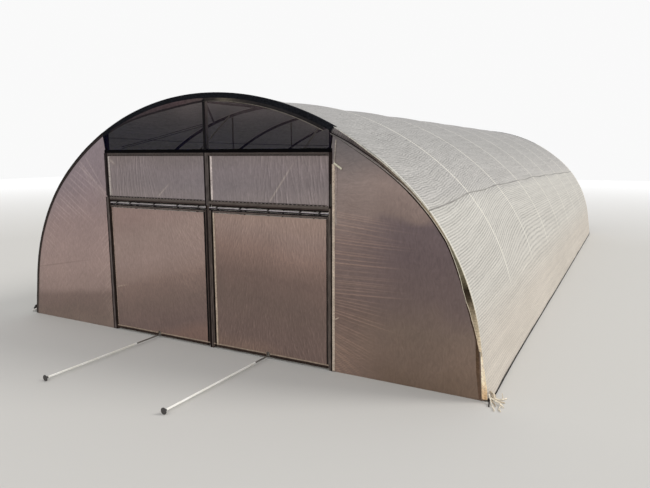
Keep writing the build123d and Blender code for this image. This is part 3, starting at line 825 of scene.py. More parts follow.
def side_film(name, side, end, nodes, cell):
    """Film between a door post and the arch. end is -1 at the front and 1 at the rear."""
    rows = np.linspace(ground_gap, panel_top, int(panel_top / cell[1]))[:, None]
    inner = panel_edge + 0.003 + np.maximum(rows - beam_z, 0) * (net_edge - panel_edge) / (crown_height - beam_z)
    outer = np.maximum(arch_x(rows, film_edge), inner + 0.004)
    x = inner + (outer - inner) * np.linspace(0, 1, int(2.0 / cell[0]))
    z = np.broadcast_to(rows, x.shape)
    folds, tint = (left_field if side < 0 and end < 0 else right_field)(x, z)
    edge = smooth((x - inner - 0.02) / 0.08) * smooth((outer - x - 0.02) / 0.10)
    swell = 0.012 * edge * hump(z / 2.6) + 0.0015 * drift(x, z, 0.3, 8)
    depth = 0.0025 + 0.0026 * folds * smooth((x - inner) / 0.03) + swell * (1 if end < 0 else 0.6)
    if end > 0:
        tint = 0.35 * tint + 0.65 * linear(146, 126, 118) + linear(206, 180, 160) * 0.10 * lit(folds)
    elif side > 0:
        tint = tint * (1 - 0.05 * lit(folds)) + linear(206, 168, 140) * 0.27 * lit(folds)
    else:
        tint = tint + linear(190, 172, 160) * 0.20 * lit(folds)
    plane = wall_y[end] + end * 0.0025
    pile = Pile().grid(places(side * x, plane + end * np.maximum(depth, 0.0), z), places(x, z), tint=tint)
    return pile.build(name, film_across if side > 0 else film_vertical, slot="film", nodes=nodes)


for label, side in sides:
    cell = (0.024, 0.0055) if side > 0 else (0.013, 0.010)
    piece = side_film(f"{label}_side_film", side, -1, [f"{label}_front_film"], cell)


def upright_field(x, z, low, high, seed, fan, reach_down=0.3):
    """Creases that hang from the top edge of a door or an upper film, and lean outwards from fan."""
    dice = np.random.default_rng(seed)
    folds = np.zeros_like(x)
    left, right = float(x.min()), float(x.max())
    place = left + 0.03
    while place < right - 0.03:
        lean = -math.pi / 2 + 0.16 * (place - fan) / (right - left) + dice.uniform(-0.05, 0.05)
        length = min((high - low) * 0.6, reach_down * dice.uniform(0.4, 1.3))
        height, width = dice.uniform(0.2, 0.8), dice.uniform(0.005, 0.008)
        folds += height * crease(x, z, (place, high - 0.01), lean, length, width, dice.uniform(-0.04, 0.04))
        if dice.uniform() < 0.6:
            height = dice.uniform(0.2, 0.6)
            length = reach_down * dice.uniform(0.5, 1.4)
            folds += height * crease(x, z, (place + 0.02, low + 0.01), -lean, length, 0.007)
        place += dice.uniform(0.018, 0.05)
    return folds


def even_stops(marks, size):
    """Stops from mark to mark, at most about one size apart."""
    return np.unique(np.concatenate([
        np.linspace(a, b, max(2, int((b - a) / size) + 2)) for a, b in zip(marks, marks[1:])]))


def flat_film(name, x_range, z_range, plane, out, field, cell, nodes, body="tunnel", notch=None):
    """Rectangular film with creases. notch is left open round a prop's ring."""
    columns = even_stops([x_range[0], *(notch[:2] if notch else ()), x_range[1]], cell[0])
    rows = even_stops([z_range[0], *(notch[2:] if notch else ()), z_range[1]], cell[1])
    x, z = np.meshgrid(columns, rows)
    folds, tint, swell = field(x, z)
    border = 1.0
    for gap in (x - x_range[0], x_range[1] - x, z - z_range[0], z_range[1] - z):
        border = border * smooth(gap / 0.04)
    depth = 0.0022 + 0.0022 * folds * border + np.maximum(swell * border, 0)
    keep = None
    if notch:
        mid_x = (columns[:-1] + columns[1:]) / 2
        mid_z = (rows[:-1] + rows[1:]) / 2
        keep = ~((mid_x > notch[0]) & (mid_x < notch[1]) & (mid_z < notch[2])[:, None])
    pile = Pile().grid(places(x, plane + out * depth, z), places(x, z), keep=keep, tint=tint)
    piece = pile.build(name, film_vertical, body, "film", nodes=nodes)


def upper_tint(x, z, side):
    tint = ramp_colour(z + 0.05 * drift(x, z, 0.5, 51 + side), [
        (2.16, 148, 137, 137), (2.4, 138, 128, 130), (2.62, 140, 129, 131), (2.86, 130, 119, 118)])
    warm = smooth((side * x) / 2.0)[..., None] * 0.5
    return tint * (1 - warm) + tint * linear(255, 250, 244) * warm


def make_upper_films():
    for label, side in sides:
        low_x, high_x = (-1.950, -0.026) if side < 0 else (0.098, 1.979)

        def field(x, z):
            folds = upright_field(x, z, header_z, 2.88, 61 + side, (low_x + high_x) / 2)
            tint = upper_tint(x, z, side) + linear(206, 190, 180) * 0.09 * lit(folds)
            if side < 0:
                long = crease(x, z, (-0.94, 2.215), 0.69, 0.40, 0.008)
                mark = crease(x, z, (-1.925, 2.765), -0.52, 0.16, 0.012)
            else:
                long = crease(x, z, (1.085, 2.22), 0.93, 0.75, 0.009)
                mark = 0.0
            # Painted highlights along the long crease and the short mark
            tint = tint + linear(220, 205, 180) * (0.22 * np.clip(long, 0, 1) + 0.25 * mark)[..., None]
            wide = tufts(x, z, (0.07, 0.16), lambda a, b: 0.3 + 0.7 * float(smooth((side * a - 0.7) / 0.5)),
                         lambda a, b: -1.5 + 0.12 * math.sin(a * 5), 0.30, 0.009, 65 + side)
            folds = folds + long + 0.6 * np.maximum(wide, 0)
            return folds, tint * (1 + 0.32 * wide)[..., None], 0.010 * hump((z - 2.15) / 0.73)

        flat_film(f"{label}_upper_sheet", (low_x, high_x), (header_z, upper_top), front_y - fit_gap, -1, field,
                  (0.0065, 0.020), [f"{label}_upper_film"])


make_upper_films()

door_in = post_half + 0.008
door_out = post_x - post_half - 0.008
door_plane = hinge_y - 0.016 - fit_gap
door_span = {"left": (-door_out, -door_in), "right": (door_in, door_out)}
prop_at = {"left": -1.045, "right": 1.005}


# Painted shade on a door's film: darker low down and lighter above a shadow edge that slants across the door
def door_tint(x, z, side):
    if side > 0:
        return ramp_colour(z + 0.07 * drift(x, z, 0.6, 71) + 0.10 * (x - 1.0), [
            (0.05, 133, 110, 99), (0.25, 122, 102, 95), (0.8, 120, 101, 93), (1.15, 124, 103, 95),
            (1.35, 135, 112, 103), (1.5, 148, 123, 113), (1.75, 157, 134, 125), (2.0, 164, 140, 129)])
    return ramp_colour(z + 0.05 * drift(x, z, 0.6, 72) - 0.24 * (x + 1.0), [
        (0.02, 137, 111, 101), (0.2, 125, 105, 99), (0.6, 129, 109, 101), (0.92, 144, 121, 112),
        (1.05, 156, 133, 124), (1.3, 164, 141, 133), (1.7, 162, 140, 132), (2.0, 157, 133, 126)])


def make_door_films():
    for label, side in sides:
        low_x, high_x = door_span[label]
        prop_x = prop_at[label]

        def field(x, z):
            fan = high_x - 0.2 if side < 0 else low_x + 0.6
            folds = upright_field(x, z, 0.06, 2.01, 81 + side, fan)
            dice = np.random.default_rng(91 + side)
            if side < 0:
                for step in range(34):
                    height = dice.uniform(0.2, 0.6)
                    start = (high_x - dice.uniform(0.25, 0.6), 1.90 - step * 0.034 + 0.05)
                    folds += height * crease(x, z, start, -0.30 + dice.uniform(-0.06, 0.06), 0.5, 0.007)
                folds += 2.6 * crease(x, z, (low_x + 0.05, 0.72), 0.26, 0.30, 0.009)
                marks = tufts(x, z, (0.045, 0.060), lambda a, b: 0.18 + 0.75 * float(smooth((a + 1.1) / 0.6)) * b / 2,
                              lambda a, b: -1.45 + 0.50 * float(smooth((a + 1.0) / 0.6)), 0.10, 0.0075, 96)
            else:
                for step in range(26):
                    height = dice.uniform(0.15, 0.45)
                    start = (low_x + 0.4 + step * 0.05, 1.50 + 0.05 * dice.uniform(-1, 1))
                    folds += height * crease(x, z, start, -1.35, 0.3, 0.007)
                marks = tufts(x, z, (0.040, 0.060), lambda a, b: 0.35 + 0.65 * abs(b - 1.05),
                              lambda a, b: -1.47 - 0.22 * math.sin(a * 3.1) - 0.10 * b, 0.085, 0.0075, 95)
            folds = folds + 0.5 * np.maximum(marks, 0)
            tint = door_tint(x, z, side) * (1 + 0.23 * marks)[..., None]
            tint = tint + linear(206, 178, 156) * 0.085 * lit(folds)
            return folds, tint, 0.012 * hump(z / 2.0) * (1 - ((x - (low_x + high_x) / 2) / 1.1) ** 2)

        flat_film(f"{label}_door_sheet", (low_x + (0.004 if side < 0 else 0.042), high_x - 0.034), (0.046, 2.016),
                  door_plane, -1, field, (0.0065, 0.016), [f"{label}_door_film"], f"{label}_door",
                  (prop_x - 0.032, prop_x + 0.032, 0.098))


make_door_films()


# Pale edges where a film is doubled round its tube, partly painted highlight, and dark strips painted as shade beside
# and under the tubes

def hem(pile, x, z, y, radius, seed, tint, squash=0.4):
    """Doubled edge of a film, drawn as a flattened roll through the places given."""
    x, z = np.broadcast_arrays(x, z)
    path = places(x + 0.0014 * drift(z, x, 0.12, seed), y, z + 0.0014 * drift(x, z, 0.12, seed + 1))
    worn = 1 + 0.10 * drift(x + z, z, 0.09, seed + 2)[None, :, None]
    side = (1, 0, 0) if np.ptp(z) > np.ptp(x) else (0, 0, 1)
    pile.tube(path, radius, squash=squash, side=side, tint=linear(*tint) * worn)


def post_wraps():
    """Strips of film wrapped on the three posts, painted dark as shade on their shaded faces and in the gaps and
    lighter on their lit faces, with the lighter hems of the fixed films beside them, partly painted highlight.
    """
    y = front_y - 0.0012
    strips = (  # across from and to, height from and to, how far out, shade
        # Left post, over and under the header
        (-2.046, -2.024, 2.20, wrap_top, 0.006, 50, 42, 42),
        (-2.026, -1.972, 2.17, wrap_top, 0.006, 26, 18, 18),
        (-2.062, -2.040, ground_gap, 2.18, 0.006, 42, 33, 32),
        (-2.042, -2.004, ground_gap, 2.18, 0.006, 92, 83, 80),
        (-2.004, -1.980, ground_gap, 2.18, 0.005, 30, 20, 16),
        # Centre post
        (-0.036, -0.015, 2.12, wrap_top, 0.0035, 16, 9, 12),
        (-0.015, 0.047, 2.12, wrap_top, 0, 80, 73, 70),
        (0.047, 0.076, 2.12, wrap_top, 0, 15, 8, 5),
        (-0.027, 0.006, ground_gap, 2.13, 0, 28, 20, 18),
        (0.006, 0.028, ground_gap, 2.13, 0, 84, 74, 69),
        # Right post
        (1.980, 2.031, header_z, wrap_top, 0.007, 28, 20, 18),
        (1.998, 2.024, 2.19, 2.47, 0.0095, 60, 57, 53),
        (1.978, 2.006, ground_gap, header_z, 0.0035, 94, 84, 78),
        (2.006, 2.024, ground_gap, header_z, 0.0085, 12, 7, 6))
    pile = Pile()
    for index, (start, end, low, high, out, *shade) in enumerate(strips):
        pile.ribbon(start, end, low, high, y - out, shade, 401 + 10 * index)
    pile.build("post_wraps", upright_wrap, slot="dark_strip")
    rolls = (  # across, slant, height from and to, count, how far out, radius, squash, shade
        (-1.944, 0, 2.20, 2.82, 28, 0.007, 0.020, 0.4, 182, 172, 166),
        (0.100, 0, 2.20, 2.82, 28, 0.005, 0.019, 0.4, 200, 187, 182),
        (2.048, 0, 0.008, 2.72, 110, 0.010, 0.020, 0.3, 190, 174, 158),
        (2.082, 0, 1.95, 2.72, 34, 0.010, 0.014, 0.3, 150, 136, 130),
        (2.052, 0.10, 2.70, 3.02, 14, 0.010, 0.010, 0.3, 146, 137, 130))
    hems = Pile()
    for index, (x, slant, low, high, count, out, radius, squash, *shade) in enumerate(rolls):
        z = np.linspace(low, high, count)
        hem(hems, x + (z - low) * slant, z, y - out, radius, 541 + 10 * index, shade, squash)
    # Tabs of tape at the corners, and small marks
    for start, end, out, width, shade in (((2.052, 2.734), (2.164, 2.661), 0.012, 0.013, (206, 200, 180)),
                                          ((2.066, 0.716), (2.124, 0.750), 0.012, 0.008, (176, 158, 142)),
                                          ((-1.915, 0.722), (-1.720, 0.772), 0.005, 0.006, (176, 156, 142))):
        x, z = np.linspace(start, end, 8).T
        hem(hems, x, z, y - out, width, 591, shade, 0.25)
    hems.build("film_hems", edge_wrap, slot="film")
    nails = Pile()
    for x, z in ((2.006, 2.502), (2.050, 2.500), (-1.946, 2.503), (0.100, 2.478)):
        nails.ball((x, y - 0.016, z), (0.006, 0.004, 0.006), 6, 8)
    nails.build("hem_nails", wire_look, slot="weathered_steel")


post_wraps()


def door_wraps():
    """Wrapped stiles, rails and hems of the two doors, with black strips painted as shadow in the gaps beside the
    stiles and under the hinge tube. They swing with the doors.
    """
    y = door_plane - 0.0036
    dull_edge = (158, 140, 124)
    stiles = {  # across from and to, how far out, shade
        "left": ((-1.972, -1.951, 0, 28, 17, 12), (-0.074, -0.045, 0, 14, 9, 8), (-0.045, -0.032, 0, 74, 64, 60)),
        "right": ((0.031, 0.063, 0, 82, 72, 67), (0.063, 0.096, 0.002, 16, 8, 4), (1.938, 1.956, 0, 14, 9, 8),
                  (1.956, 1.972, 0, 92, 82, 76))}
    for label, side in sides:
        low_x, high_x = door_span[label]
        prop_x = prop_at[label]
        dark = Pile()
        pale = Pile()
        for index, (start, end, out, *shade) in enumerate(stiles[label]):
            dark.ribbon(start, end, 0.026, 2.052, y - out, shade, (601 if side < 0 else 641) + 10 * index)
        z = np.linspace(0.060, 2.020, 80)
        if side < 0:
            hem(pale, -1.942, z, y - 0.002, 0.008, 631, (158, 138, 126))
        else:
            hem(pale, 0.113, z, y - 0.004, 0.0165, 681, (184, 166, 148))
        for start, end in ((low_x + 0.002, prop_x - 0.034), (prop_x + 0.034, high_x - 0.002)):
            hem(pale, np.linspace(start, end, 50), 0.071, y - 0.002, 0.009, 691, dull_edge)
            dark.ribbon(0.025, 0.060, start, end, y, (52, 41, 36), 701, level=True)
        # Painted shadow under the hinge tube, along the door's top
        dark.ribbon(2.050, 2.0675, low_x, high_x, y + 0.001, (22, 17, 20), 711, level=True, puff=0.001)
        dark.ribbon(2.024, 2.050, low_x, high_x, y, (88, 78, 73), 721, level=True)
        for step in (-0.029, 0.029):
            hem(pale, prop_x + step, np.linspace(0.054, 0.100, 6), y - 0.003, 0.004, 731, dull_edge, 1.0)
        dark.build(f"{label}_door_wraps", upright_wrap, f"{label}_door", "dark_strip")
        pale.build(f"{label}_door_hems", edge_wrap, f"{label}_door", "film")
        # Hinge tube: a painted reflection along its upper front, painted shade below
        tube = Pile()
        x = np.linspace(*sorted((side * 0.026, side * 1.978)), 50)
        sky_reflection = smooth((ring(24)[:, :1, None] - 0.02) / 0.12)
        worn = 1 + 0.14 * drift(x, x * 0, 0.16, 741)[None, :, None]
        tint = linear(176, 169, 171) * sky_reflection + linear(40, 34, 36) * (1 - sky_reflection)
        tube.sweep(places(x, hinge_y, hinge_z), ring(24) * tube_radius, tint=tint * worn)
        tube.build(f"{label}_hinge", edge_wrap, slot="galvanised", angle=50, nodes=[f"{label}_hinge_tube"])


door_wraps()


def header_wraps():
    """A near-black strip painted as the shade in the slot between the header and the hinge tubes, and a strip of film
    on the header's face.
    """
    pile = Pile()
    for start, end in ((-1.978, -0.030), (0.080, 1.978)):
        pile.ribbon(2.109, 2.134, start, end, front_y + 0.004, (22, 14, 13), 751, level=True)
        pile.ribbon(2.130, 2.150, start, end, front_y - 0.0012, (64, 54, 50), 761, level=True)
    pile.build("header_wraps", level_wrap, slot="dark_strip")


header_wraps()


# Nets over the vents, with a dark hem along the beam and the slanting corners beside the posts

def vent_net(name, end, nodes):
    low = beam_z - post_half + 0.022 + 0.0005
    columns = np.linspace(-net_edge, net_edge, 171)
    over = np.maximum(np.abs(columns) - panel_edge, 0) / (net_edge - panel_edge)
    bottom = low + over * (crown_height - beam_z)
    top = arch_z(columns, -0.014)
    share = shares(26)
    z = bottom + (np.maximum(top, bottom + 0.002) - bottom) * share
    x = np.broadcast_to(columns, z.shape)
    ripple = 0.0015 + 0.003 * (0.5 + 0.5 * drift(x, z, 0.22, 151)) + 0.004 * hump(share)
    open_here = top > bottom + 0.01
    keep = np.broadcast_to(open_here[:-1] & open_here[1:], (25, 170))
    # Painted light and shade: near black low down and to the left, lighter towards the crown and to the right
    tint = ramp_colour(z + 0.08 * drift(x, z, 0.5, 152) + 0.09 * x, [
        (2.85, 0, 0, 20), (3.05, 8, 6, 25), (3.30, 36, 30, 37), (3.6, 76, 67, 68)])
    plane = wall_y[end] + end * 0.0028
    pile = Pile().grid(places(x, plane + end * ripple, z), places(x, z), keep=keep, tint=tint)
    piece = pile.build(name, net_look, slot="black_net", nodes=nodes)


vent_net("vent_netting", -1, ["vent_net"])
vent_net("rear_vent_netting", 1, ["rear_vent_net"])


def net_trim():
    """Doubled net: a strip along each vent beam, one up each outer post and one down the centre post."""
    pile = Pile()
    rows = shares(6)
    columns = shares(5)
    for end in (-1, 1):
        plane = wall_y[end] + end * 0.005
        x = np.linspace(-2.03, 2.03, 161)[None, :]
        z = wrap_top + 0.050 * rows + 0.002 * drift(x, rows * 0.2, 0.1, 161)
        depth = 0.0015 + 0.002 * hump(rows) + 0.001 * drift(x, rows * 0.1, 0.05, 162)
        pile.grid(places(x, plane + end * depth, z), places(x, rows * 0.05))
        for side in (-1, 1):
            height = np.linspace(2.90, 3.155, 24)
            inner = side * (post_x - 0.020)
            outer = side * (post_x + 0.008 + (height - 2.90) * 0.15)
            y = plane + end * (0.002 + 0.002 * np.sin(columns * math.pi * 2) ** 2)
            pile.grid(places(inner + (outer - inner) * columns, y, np.minimum(height, arch_z(outer, -0.012))))
    pile.build("net_trim", black_wrap, slot="black_net")
    pile = Pile()
    pile.ribbon(-0.021, 0.024, 2.905, 3.600, front_y - 0.0105, (14, 12, 14), 931)
    pile.build("net_post_hem", upright_wrap, slot="black_net")


net_trim()


def net_band(name, end, nodes):
    """Net folded over an end hoop, gathered into ribs along it."""
    reach = reach_at(2.06, cover_out)
    path_reach = np.arange(-reach, reach + 0.001, 0.0048)
    x0, z0, turn = arch(path_reach, 0.0)
    face = wall_y[end] + end * 0.0118
    profile = np.array([
        (-0.0395, 0.0045), (-0.0400, 0.0010), (-0.032, 0.0), (-0.010, 0.0), (0.012, 0.0), (0.026, 0.0015),
        (0.0335, 0.006), (0.0362, 0.013), (0.0362, 0.030), (0.0358, 0.052), (0.0345, 0.068), (0.0320, 0.0765)])
    rise, back = profile[:, :1], profile[:, 1:]
    sway = 1.5 * drift(path_reach, path_reach * 0, 0.2, 171)
    height = 0.0036 * (0.5 + 0.5 * np.sin(path_reach / gather_pitch * 2 * math.pi + sway))
    grow = 0.0030 * drift(path_reach, path_reach * 0, 0.35, 172)
    on_top = np.clip((rise - 0.012) / 0.02, 0, 1)
    offset = np.minimum(rise + (height - 0.0028 + grow * 0.5) * on_top, 0.0385) + grow * (1 - on_top)
    depth = back + (0.0036 - height) * (1 - 0.6 * on_top)
    girth = np.r_[0, np.cumsum(np.linalg.norm(np.diff(profile, axis=0), axis=1))]
    points = places(x0 + offset * np.sin(turn), face - end * depth, z0 + offset * np.cos(turn))
    pile = Pile().grid(points, places(path_reach, girth[:, None]))
    piece = pile.build(name, band_look, slot="black_net", nodes=nodes)


net_band("net_band_front", -1, ["front_band"])
net_band("net_band_rear", 1, ["rear_band"])


def edge_ribbon(pile, side, reaches, inner, outer, y, shades, seed, end=-1, rows=7, puff=0.002, ribs=0.0, fade=0.0):
    """Strip along an end arch between two offsets that change with the reach, given in millimetres."""
    reach = np.arange(reaches[0], reaches[-1], 0.01 if ribs else 0.02)
    low = np.interp(reach, reaches, inner) / 1000
    high = np.interp(reach, reaches, outer) / 1000
    share = shares(rows)
    row = reach[None, :]
    offset = low + (high - low) * share + 0.0012 * drift(row, share * 0.3, 0.12, seed)
    x, z, _ = arch(side * np.broadcast_to(reach, offset.shape), offset)
    depth = puff * hump(share) + 0.0010 * (1 + drift(row, share * 0.3, 0.05, seed + 1))
    worn = 1 + 0.14 * drift(row, share * 0.2, 0.07, seed + 2)
    worn = worn + ribs * np.sin(reach / 0.030 * 2 * np.pi) + fade * (share - 0.5)
    tint = ramp_colour(reach, shades) * worn[..., None]
    pile.grid(places(x, y + end * depth, np.maximum(z, 0.002)), places(offset, reach), tint=tint)


def edge_line(pile, side, reaches, offsets, y, radius, shades, seed):
    """Rolled edge that follows an offset along an end arch."""
    reach = np.arange(reaches[0], reaches[-1], 0.03)
    offset = np.interp(reach, reaches, offsets) / 1000 + 0.0010 * drift(reach, reach * 0, 0.1, seed)
    x, z, turn = arch(side * reach, offset)
    path = places(x, y, np.maximum(z, radius))
    pile.tube(path, radius, squash=0.6, side=outward(turn), tint=ramp_colour(reach, shades)[None])


def edge_strips():
    """Nets, hems and rolled edges drawn over the end arches beyond the bands."""
    pile = Pile()
    pale = Pile()
    foot_end = foot_reach - 0.004
    start = reach_at(2.05, cover_out)
    y = front_y - 0.006
    # Right: the hem of the film wanders in and out, with a fold along its inside painted dark as shade, a line of
    # painted shade under the hem, and pale rolled edges that are partly painted highlight
    stops = [start, 2.5, 2.7, 2.9, 3.14, 3.4, 3.6, 3.75, 4.13, 4.29, 4.45, 4.6, 4.71, 4.85, 5.0, 5.1, 5.2, 5.34, 5.46]
    hem_at = [-68, -64, -55, -41, -26, -12, -6, 0, 10, -2, -16, -28, -42, -44, -31, -28, -16, -3, 7]
    lap_at = [24, 12, 7, 16, 18, 18, 22, 26] + [29] * 11
    under_at = [a - b for a, b in zip(hem_at, [9, 11, 13, 15, 17] + [21] * 14)]
    fold_at = [start, 2.46, 2.65, 2.79, 2.92, 3.09, 3.25, 3.4, 3.6]
    fold_in = [-62, -42, -38, -29, -24, -21, -9, -1, 6]
    fold_out = [-50, -26, -23, -14, -9, -9, 1, 7, 10]
    edge_ribbon(pile, 1, fold_at, fold_in, np.interp(fold_at, stops, lap_at), y - 0.001, [
        (2.1, 98, 93, 93), (2.5, 80, 73, 71), (2.8, 86, 76, 71), (3.1, 112, 102, 90), (3.6, 138, 127, 107)],
        801, ribs=0.30, fade=0.85)
    edge_ribbon(pile, 1, stops[6:], hem_at[6:], lap_at[6:], y - 0.001, [
        (3.6, 140, 128, 106), (3.9, 146, 132, 112), (4.3, 118, 113, 94), (4.62, 96, 88, 70), (4.72, 44, 36, 26),
        (4.82, 66, 56, 44), (4.95, 130, 117, 96), (5.2, 192, 175, 148), (5.46, 224, 204, 174)], 803, ribs=0.10)
    edge_ribbon(pile, 1, fold_at[3:], np.interp(fold_at[3:], stops, hem_at), fold_in[3:], y - 0.0012, [
        (2.8, 108, 100, 97), (3.1, 138, 129, 124), (3.6, 172, 161, 148)], 804, rows=4)
    edge_ribbon(pile, 1, fold_at, fold_in, fold_out, y - 0.0030, [
        (2.1, 36, 33, 34), (2.6, 30, 26, 25), (2.9, 52, 43, 37), (3.25, 74, 63, 55), (3.6, 112, 100, 86)],
        806, rows=5)
    edge_ribbon(pile, 1, stops, under_at, [a - 3 for a in hem_at], y - 0.0005, [
        (2.1, 86, 80, 79), (2.5, 80, 73, 71), (2.8, 54, 46, 43), (3.2, 36, 28, 24), (4.0, 32, 22, 17),
        (5.0, 60, 46, 38), (5.46, 82, 64, 50)], 811)
    edge_ribbon(pile, 1, [5.30, 5.46, 5.7, foot_end - 0.02], [-24, -40, -62, -66], [2, 0, -22, -38], y - 0.0005, [
        (5.3, 70, 54, 42), (5.6, 92, 72, 56), (5.9, 98, 78, 64)], 821)
    edge_ribbon(pale, 1, stops[:8], lap_at[:8], [30] * 8, y + 0.001, [
        (2.1, 178, 177, 173), (3.1, 190, 187, 180), (4.0, 204, 198, 184)], 831, puff=0.0005, ribs=0.05)
    edge_line(pale, 1, stops, hem_at, y - 0.004, 0.0040, [
        (2.1, 108, 104, 100), (2.5, 134, 129, 125), (2.95, 146, 138, 132), (3.4, 168, 158, 148), (3.7, 196, 186, 170),
        (4.2, 214, 204, 186), (4.7, 196, 188, 170), (5.2, 206, 190, 166), (5.46, 222, 200, 172)], 841)
    edge_line(pale, 1, stops + [foot_end], lap_at + [29.5], y - 0.001, 0.0036, [
        (2.1, 216, 212, 204), (2.85, 216, 208, 188), (3.2, 206, 200, 186), (4.4, 214, 206, 184),
        (foot_end, 224, 206, 180)], 851)
    # Right foot: the film's surplus is folded out over the corner, painted bright and warm as sunlit film, brighter
    # on its folds
    z = np.linspace(0.030, 0.60, 26)[None, :]
    share = shares(7)
    inner = np.interp(z, [0.03, 0.205, 0.384, 0.60], [3.990, 3.979, 3.967, 3.952])
    outer = np.interp(z, [0.03, 0.141, 0.37, 0.563, 0.61], [4.056, 4.050, 4.010, 3.966, 3.954])
    x = inner + (outer - inner) * share
    fold = np.abs(np.sin(share * math.pi * 1.5))
    glow = ramp_colour(z + 0.05 * drift(x, z, 0.05, 861), [
        (0.02, 214, 178, 136), (0.10, 245, 213, 172), (0.25, 255, 238, 208), (0.45, 252, 236, 210),
        (0.6, 228, 211, 186)])
    tint = glow * (0.90 + 0.14 * fold)[..., None]
    pale.grid(places(x, y - 0.006 - 0.010 * fold * (1 - z), z), places(x, z), tint=tint)
    # Left: one lap from the post's head to the ground, painted dark as shade, with a darker edge
    edge_ribbon(pile, -1, [start, 4.6, foot_end], [-24, -22, -22], [31, 31, 31], y, [
        (2.1, 44, 38, 37), (4.0, 56, 49, 46), (5.4, 62, 54, 50), (foot_end, 92, 82, 76)], 871)
    edge_ribbon(pile, -1, [start, 4.6, foot_end], [8, 8, 8], [33, 33, 33], y - 0.0022, [
        (2.1, 28, 25, 25), (4.0, 42, 36, 34), (foot_end, 52, 46, 43)], 881)
    # Rear: the same laps, plainer
    for side in (-1, 1):
        edge_ribbon(pile, side, [start, foot_end], [-12, -12], [30, 30], rear_y + 0.005, [
            (2.1, 66, 62, 58), (foot_end, 88, 80, 72)], 891, end=1)
        edge_line(pale, side, [start, foot_end], [29.5, 29.5], rear_y + 0.004, 0.0048, [
            (2.1, 206, 200, 186), (foot_end, 214, 200, 180)], 901)
    pile.build("arch_edge_laps", edge_wrap, slot="dark_strip")
    pale.build("arch_edge_rolls", edge_wrap, slot="net_cover")


edge_strips()


def band_seams():
    """Under the front band: a strip of the net's margin, and the seam along its inner edge."""
    pile = Pile()
    # Left: the margin hangs down in a curve, darker towards its lower end as painted shade, with a broad seam painted
    # dark as shade
    stops = [0.02, 0.335, 0.64, 0.96, 1.29, 1.635, 1.95]
    seam = [-80, -104, -112, -105, -82, -54, -40]
    edge_ribbon(pile, -1, stops, seam, [-37] * 7, front_y - 0.0085, [
        (0.0, 80, 70, 68), (0.4, 76, 62, 64), (1.1, 66, 56, 58), (1.5, 52, 45, 48), (2.2, 40, 35, 38)], 911)
    edge_ribbon(pile, -1, stops, [a - 15 for a in seam], [a + 13 for a in seam], front_y - 0.0100, [
        (0.0, 36, 30, 32), (2.1, 38, 33, 36)], 921)
    # Right: it is even and dark, with a thin roll and one patch of the strip painted light as highlights
    edge_ribbon(pile, 1, [0.0, 2.02], [-78, -74], [-37, -37], front_y - 0.0085, [
        (0.0, 38, 34, 35), (0.2, 52, 47, 44), (0.35, 92, 86, 76), (0.6, 58, 53, 50), (0.9, 38, 35, 36),
        (2.2, 34, 32, 33)], 911)
    edge_line(pile, 1, [0.0, 2.02], [-84, -80], front_y - 0.012, 0.0042, [
        (0.0, 60, 55, 53), (0.3, 104, 98, 90), (2.1, 122, 116, 108)], 921)
    pile.build("band_seams", edge_wrap, slot="black_net")


band_seams()


# Lock channels with their zigzag wire, on the beam and on the header

def lock_channels():
    beams = Pile()
    headers = Pile()
    wires = Pile()
    steps = np.linspace(0.036, 1.968, 260)
    wave = 0.0060 * np.clip(np.sin(steps / wire_pitch * 2 * math.pi) * 1.6, -1, 1)
    for end in (-1, 1):
        plane = wall_y[end] + end * 0.0048
        for side in (-1, 1):
            for pile, z, half, wire_z in ((beams, 2.8455, 0.022, 2.836), (headers, 2.1665, 0.0185, 2.192)):
                profile = np.array([
                    [-half, 0.0], [-half, 0.0035], [-half + 0.004, 0.0048], [-half + 0.006, 0.0028],
                    [half - 0.006, 0.0028], [half - 0.004, 0.0048], [half, 0.0035], [half, 0.0]])
                x = np.linspace(0.030, 1.974, 40) * side
                pile.sweep(places(x, plane, z), profile * [1, -end * side])
                wires.tube(places(steps * side, plane + end * 0.0042, wire_z + wave), 0.0030, 5, side=(0, 1, 0))
                # The film bulges in dark dashes where the wire holds it
                for place in np.arange(0.11, 1.95, wire_pitch):
                    bulge = place + 0.010 * drift(np.array([place]), np.array([z]), 0.1, 925)[0]
                    x = np.linspace(bulge - 0.019, bulge + 0.016, 4) * side
                    wires.tube(places(x, plane + end * 0.0055, wire_z + 0.002), 0.0062, 6, side=(0, 1, 0))
    beams.build("beam_channels", beam_channel, slot="weathered_steel", angle=40)
    headers.build("header_channels", header_channel, slot="weathered_steel", angle=40)
    wires.build("lock_wires", wire_look, slot="weathered_steel")


lock_channels()


# Rear end: the same films without doors

def make_rear_films():
    plane = rear_y + fit_gap
    cell = (0.017, 0.03)
    gleam = linear(206, 190, 176) * 0.12
    for label, side in sides:
        piece = side_film(f"rear_side_film_{label}", side, 1, ["rear_film"] if side < 0 else [], (0.035, 0.018))

    def low_field(x, z):
        folds = upright_field(x, z, 0.02, header_z, 201, 0.0)
        tint = ramp_colour(z + 0.06 * drift(x, z, 0.6, 202), [
            (0.05, 132, 112, 104), (0.5, 136, 117, 109), (1.2, 142, 123, 115), (2.1, 150, 131, 125)])
        return folds, tint + gleam * lit(folds), 0.008 * hump(z / 2.1)

    flat_film("rear_low_film", (-1.998, 1.998), (ground_gap, header_z), plane, 1, low_field, cell, [])
    for label, side in sides:
        low_x, high_x = sorted((side * 0.003, side * 1.996))

        def high_field(x, z):
            folds = upright_field(x, z, header_z, 2.88, 211 + side, (low_x + high_x) / 2)
            return folds, upper_tint(x, z, side) + gleam * lit(folds), 0.006 * hump((z - 2.15) / 0.73)

        flat_film(f"rear_high_film_{label}", (low_x, high_x), (2.164, upper_top), plane, 1, high_field, cell, [])


make_rear_films()


# Frame members that carry over from the part

def dress(look, *names):
    for name in names:
        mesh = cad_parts[name].data
        mesh.materials.clear()
        mesh.materials.append(look)


